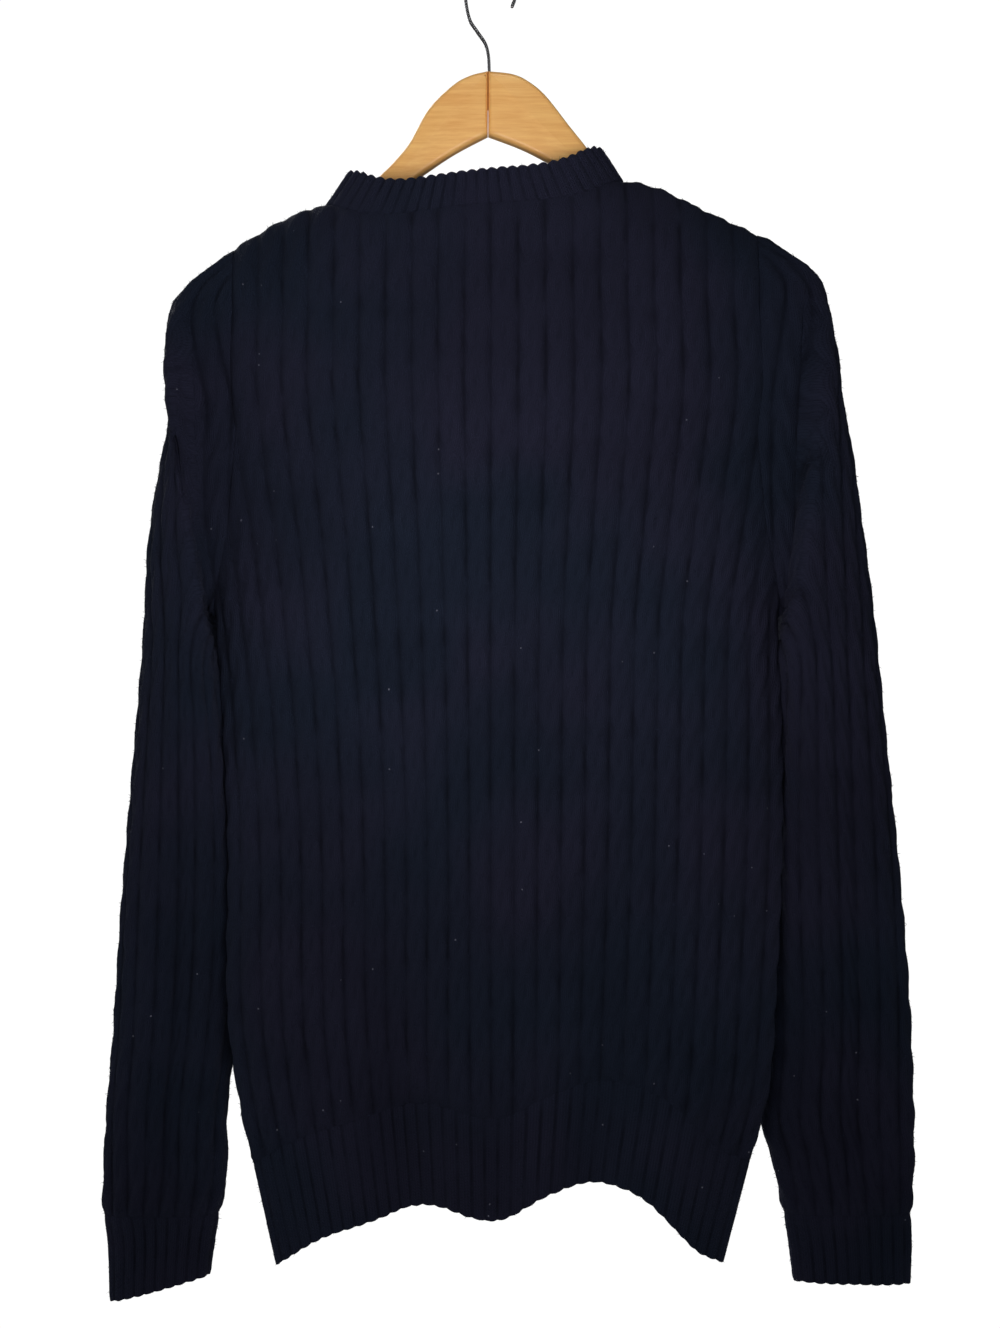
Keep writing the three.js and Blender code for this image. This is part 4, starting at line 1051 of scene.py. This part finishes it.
def wood_material():
    """Pale hardwood, sanded and lacquered: a honey colour, fine straight grain and a soft gloss."""
    made = material("lacquered_hardwood")
    tree = made.node_tree
    place = node(tree, "ShaderNodeTexCoord").outputs["Object"]
    stretch = {"Vector": place, "Scale": (0.06, 1.0, 1.0), "Rotation": (0, 0.22, 0)}
    along = node(tree, "ShaderNodeMapping", stretch)
    wander = node(tree, "ShaderNodeTexNoise", {"Vector": along, "Scale": 60.0, "Detail": 3.0})
    bands = node(
        tree, "ShaderNodeTexNoise",
        {"Vector": along, "Scale": 420.0, "Detail": 5.0, "Roughness": 0.65},
    )
    pores = node(tree, "ShaderNodeTexNoise", {"Vector": along, "Scale": 1500.0, "Detail": 2.0})
    grain = {0: wander.outputs["Fac"], 1: 0.6, 2: bands.outputs["Fac"]}
    blend = node(tree, "ShaderNodeMath", grain, operation="MULTIPLY_ADD")
    share = node(tree, "ShaderNodeMapRange", {"Value": blend, 1: 0.55, 2: 1.05})
    ramp = node(tree, "ShaderNodeValToRGB", {"Fac": share})
    ramp.color_ramp.elements[0].color = linear("#e3a254")
    ramp.color_ramp.elements[1].color = linear("#f6c676")
    pitted = {"Height": pores.outputs["Fac"], "Strength": 0.08, "Distance": 0.3 * MM}
    bump = node(tree, "ShaderNodeBump", pitted)
    surface = node(tree, "ShaderNodeBsdfPrincipled", {
        "Base Color": ramp,
        "Roughness": 0.5,
        "IOR": 1.5,
        "Coat Weight": 0.3,
        "Coat Roughness": 0.25,
        "Normal": bump,
    })
    node(tree, "ShaderNodeOutputMaterial", {"Surface": surface})
    return made


def steel_material():
    """Zinc-plated steel wire, drawn and bent: grey, with a soft metal gloss and faint lengthwise streaks."""
    made = material("plated_steel_wire")
    tree = made.node_tree
    place = node(tree, "ShaderNodeTexCoord").outputs["Object"]
    streaks = node(tree, "ShaderNodeTexNoise", {"Vector": place, "Scale": 700.0, "Detail": 2.0})
    rough = node(tree, "ShaderNodeMapRange", {"Value": streaks.outputs["Fac"], 3: 0.22, 4: 0.38})
    surface = node(tree, "ShaderNodeBsdfPrincipled", {
        "Base Color": linear("#8f9092"),
        "Metallic": 1.0,
        "Roughness": rough,
    })
    node(tree, "ShaderNodeOutputMaterial", {"Surface": surface})
    return made


def spline(knots, count):
    """A smooth curve through knots."""
    knots = np.array(knots, float)
    step = np.linalg.norm(np.diff(knots, axis=0), axis=1) ** 0.5
    at = np.concatenate([[0], np.cumsum(step)])
    rows = {"t": at, **{str(k): knots[:, k] for k in range(knots.shape[1])}}
    t = np.linspace(0, at[-1], count)
    return np.stack([read(rows, "t", t, str(k)) for k in range(knots.shape[1])], -1)


def hanger_outline(side):
    """The outline of one half: out from the joint along the top, round the tip, and back."""
    left = 1 if side == "left" else -1
    joint = JOINT_X + left * JOINT_GAP / 2
    rise = [p for p in zip(HUMP_TOP["x"], HUMP_TOP["z"]) if left * (p[0] - JOINT_X) > 0][::left]
    arm_x = ARM_TOP[side]["x"]
    arm_z = read(SHOULDER, "x", arm_x, "z") - SKIN - ARM_TOP[side]["drop"]
    tip_x, tip_z = ARM_TIP[side]
    angle = np.radians(np.linspace(*TIP_TURN, TIP_POINTS))
    tip = list(zip(tip_x + left * TIP_RADIUS * np.cos(angle), tip_z + TIP_RADIUS * np.sin(angle)))
    top = spline([(joint, JOINT_TOP), *rise, *zip(arm_x, arm_z), tip[0]], TOP_POINTS)
    low = spline([tip[-1], *ARM_LOW[side], NOTCH[side]], LOW_POINTS)
    notch_x, notch_z = NOTCH[side]
    half_way = ((notch_x + joint) / 2, (notch_z + NOTCH_TOP) / 2 + NOTCH_BULGE)
    notch = spline([NOTCH[side], half_way, (joint, NOTCH_TOP)], NOTCH_POINTS)
    return np.concatenate([top, tip[1:-1], low, notch[1:]])


def hanger_half(side, finish):
    """A flat board with its edges rounded over, cut to the outline."""
    outline = hanger_outline(side)
    if side == "left":
        outline = outline[::-1]
    before, after = np.roll(outline, 1, 0), np.roll(outline, -1, 0)
    edge_in = outline - before
    edge_out = after - outline
    edge_in /= np.linalg.norm(edge_in, axis=1, keepdims=True)
    edge_out /= np.linalg.norm(edge_out, axis=1, keepdims=True)
    inward = np.stack([-(edge_in + edge_out)[:, 1], (edge_in + edge_out)[:, 0]], -1)
    inward /= np.linalg.norm(inward, axis=1, keepdims=True)
    loops = []
    for face, turns in ((1, range(0, 91, ROUND_STEP)), (-1, range(90, 181, ROUND_STEP))):
        for angle in np.radians(turns):
            edge = outline + inward * WOOD_ROUND * (1 - math.sin(angle))
            depth = WOOD_THICK / 2 - WOOD_ROUND + WOOD_ROUND * abs(math.cos(angle))
            loops.append(points(edge[:, 0], face * depth, edge[:, 1]))
    p = swept(np.concatenate(loops)) * MM
    piece = new_piece("wood_" + side, p, wall_faces(len(loops), len(outline)))
    piece.data.set_sharp_from_angle(angle=math.radians(WOOD_SHARP))
    piece.data.materials.append(finish)
    return piece


def wall_faces(rings, sides):
    """Quads from each ring of points to the next, and a cap on each end."""
    faces = []
    for r in range(rings - 1):
        for k in range(sides):
            j = (k + 1) % sides
            faces.append((r * sides + k, r * sides + j, (r + 1) * sides + j, (r + 1) * sides + k))
    faces.append(tuple(range(sides))[::-1])
    faces.append(tuple(range((rings - 1) * sides, rings * sides)))
    return faces


def hook_wire(finish):
    """A round wire along the shank and the bend, domed at its free end."""
    bend = HOOK_BEND + WIRE / 2
    arc = [(bend * math.cos(a), bend * math.sin(a) - HOOK_BEND) for a in np.radians(HOOK_ARC)]
    path = spline([*SHANK, *arc], WIRE_STEPS)
    path = points(path[:, 0], 0.0, path[:, 1])
    forward = np.gradient(path, axis=0)
    forward /= np.linalg.norm(forward, axis=1, keepdims=True)
    across = np.cross(forward, [0, 1, 0])
    turned = [(place, side, 1.0) for place, side in zip(path, across)]
    for angle in np.radians(WIRE_DOME):
        turned.append((path[-1] + forward[-1] * WIRE / 2 * math.sin(angle), across[-1], math.cos(angle)))
    around = (np.arange(WIRE_SIDES) / WIRE_SIDES * 2 * math.pi)[:, None]
    rings = []
    for place, side, share in turned:
        circle = np.cos(around) * side + np.sin(around) * np.array([0, 1, 0])
        rings.append(place + WIRE / 2 * share * circle)
    piece = new_piece("wire_hook", np.concatenate(rings) * MM, wall_faces(len(rings), WIRE_SIDES))
    piece.data.materials.append(finish)
    return piece


cable_knit = knit_material("cable_knit_merino", stitches=3, row=1.9)
rib_knit = knit_material("rib_knit_merino", stitches=2, row=1.9)
WOOL_SIZES = {"Wool": 1.1 * MM, "Wool scale": 260.0}
CABLE_SIZES = {
    "Relief": CABLE_RELIEF * MM,
    "Crossing": CROSSING * MM,
    "Reach": 0.19,
    "Half strand": 0.26,
    "Dive": 0.32,
    "Half bed": 0.46,
    "Bed": 0.5,
    **WOOL_SIZES,
}
RIB_SIZES = {"Relief": RIB_RELIEF * MM, "Half rib": 0.42, **WOOL_SIZES}
LOW_RIB_SIZES = {**RIB_SIZES, "Relief": LOW_RIB_RELIEF * MM}
cables = relief_tree("Cables", CABLE_SIZES, cable_height, cable_knit)
ribs = relief_tree("Ribs", RIB_SIZES, rib_height, rib_knit)

cloth = {}
for side, name in ((1, "back"), (-1, "front")):
    inner = panel_surface(side, INNER_COLUMNS, INNER_ROW, 0.0)
    panel = shell(panel_surface(side, CABLE_COLUMNS, ROW, WALL), inner)
    cloth[name] = raised(mesh_object("knit_" + name, panel), cables, CABLE_SIZES)
    cloth["hem_" + name] = raised(mesh_object("knit_hem_" + name, hem_shell(side)), ribs, LOW_RIB_SIZES)
cloth["neckband"] = raised(mesh_object("knit_neckband", neckband_shell()), ribs, RIB_SIZES)
for side in ("left", "right"):
    sleeve = mesh_object("knit_sleeve_" + side, sleeve_shell(side))
    cloth["sleeve_" + side] = raised(sleeve, cables, CABLE_SIZES)
    cloth["cuff_" + side] = raised(mesh_object("knit_cuff_" + side, cuff_shell(side)), ribs, LOW_RIB_SIZES)

# Real fibres are about a twentieth of this thick. Drawn so coarse, they still show only faintly.
FIBRE_SIZES = {"Each square metre": 45000.0, "Radius": 0.2 * MM, "Length": 3.2 * MM}
fibres = fibre_tree(FIBRE_SIZES, fibre_material())
for name, piece in cloth.items():
    bloom = bpy.data.objects.new("fibres_" + name, piece.data.copy())
    bpy.context.scene.collection.objects.link(bloom)
    raised(bloom, fibres, FIBRE_SIZES)
    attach(bloom, "root")

for name, piece in cloth.items():
    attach(piece, "root")
    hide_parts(name)

wood = wood_material()
for side in ("left", "right"):
    half = hanger_half(side, wood)
    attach(half, "root")
    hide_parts("hanger_" + side)
hook = hook_wire(steel_material())
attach(hook, "root")
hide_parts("hook")


def studio_floor():
    """A round pale floor, well below the hems."""
    turns = np.radians(np.arange(0, 360, 5))
    rim = points(FLOOR_WIDE * np.cos(turns), FLOOR_Y + FLOOR_DEEP * np.sin(turns), FLOOR_Z)
    floor = new_piece("floor", rim, [tuple(range(len(rim)))])
    paint = material("matt_white_paint")
    tree = paint.node_tree
    surface = node(tree, "ShaderNodeBsdfPrincipled", {"Base Color": linear("#f6f6f6"), "Roughness": 0.9})
    node(tree, "ShaderNodeOutputMaterial", {"Surface": surface})
    floor.data.materials.append(paint)


def studio_world():
    """Even white surroundings, overexposed to the eye and softer as light on the cloth."""
    world = bpy.data.worlds.new("studio")
    bpy.context.scene.world = world
    world.use_nodes = True
    tree = world.node_tree
    seen = node(tree, "ShaderNodeLightPath").outputs["Is Camera Ray"]
    strength = node(tree, "ShaderNodeMapRange", {"Value": seen, 3: AMBIENT, 4: BACKDROP})
    background = tree.nodes["Background"]
    background.inputs["Color"].default_value = (1, 1, 1, 1)
    tree.links.new(strength.outputs[0], background.inputs["Strength"])


def area_light(name, place, aim, size, power, spread=180, colour=(1, 1, 1)):
    """A square lamp. Sizes are in metres, the power in watts and the spread in degrees."""
    lamp = bpy.data.lights.new(name, "AREA")
    lamp.size = size
    lamp.energy = power
    lamp.spread = math.radians(spread)
    lamp.color = colour
    holder = bpy.data.objects.new(name, lamp)
    holder.location = place
    holder.rotation_euler = (Vector(aim) - Vector(place)).to_track_quat("-Z", "Y").to_euler()
    holder.visible_camera = False
    bpy.context.scene.collection.objects.link(holder)


studio_floor()
studio_world()
BODY_MIDDLE = (0, 0, -0.45)
area_light("key", (0.0, 0.54, -0.37), (0, 0, -0.37), size=0.3, power=1.75, spread=150, colour=(1.0, 0.9, 0.9))
area_light("hanger_light", (0.0, 0.42, 0.3), (0, 0, -0.09), size=0.1, power=0.07, spread=50)
area_light("front_fill", (0.9, -1.5, 0.5), BODY_MIDDLE, size=1.0, power=26)
area_light("left_fill", (1.9, 0.1, 0.3), BODY_MIDDLE, size=0.9, power=8)
area_light("right_fill", (-1.9, 0.1, 0.3), BODY_MIDDLE, size=0.9, power=4)
bpy.context.scene.view_settings.view_transform = "Standard"

lens = bpy.data.cameras.new("camera")
lens.sensor_width = SENSOR
lens.lens = SENSOR * CAMERA_AWAY / FRAME_TALL
camera = bpy.data.objects.new("camera", lens)
camera.location = (CAMERA_X * MM, CAMERA_AWAY * MM, CAMERA_Z * MM)
camera.rotation_euler = (math.radians(90), 0, math.radians(180))
bpy.context.scene.collection.objects.link(camera)
bpy.context.scene.camera = camera
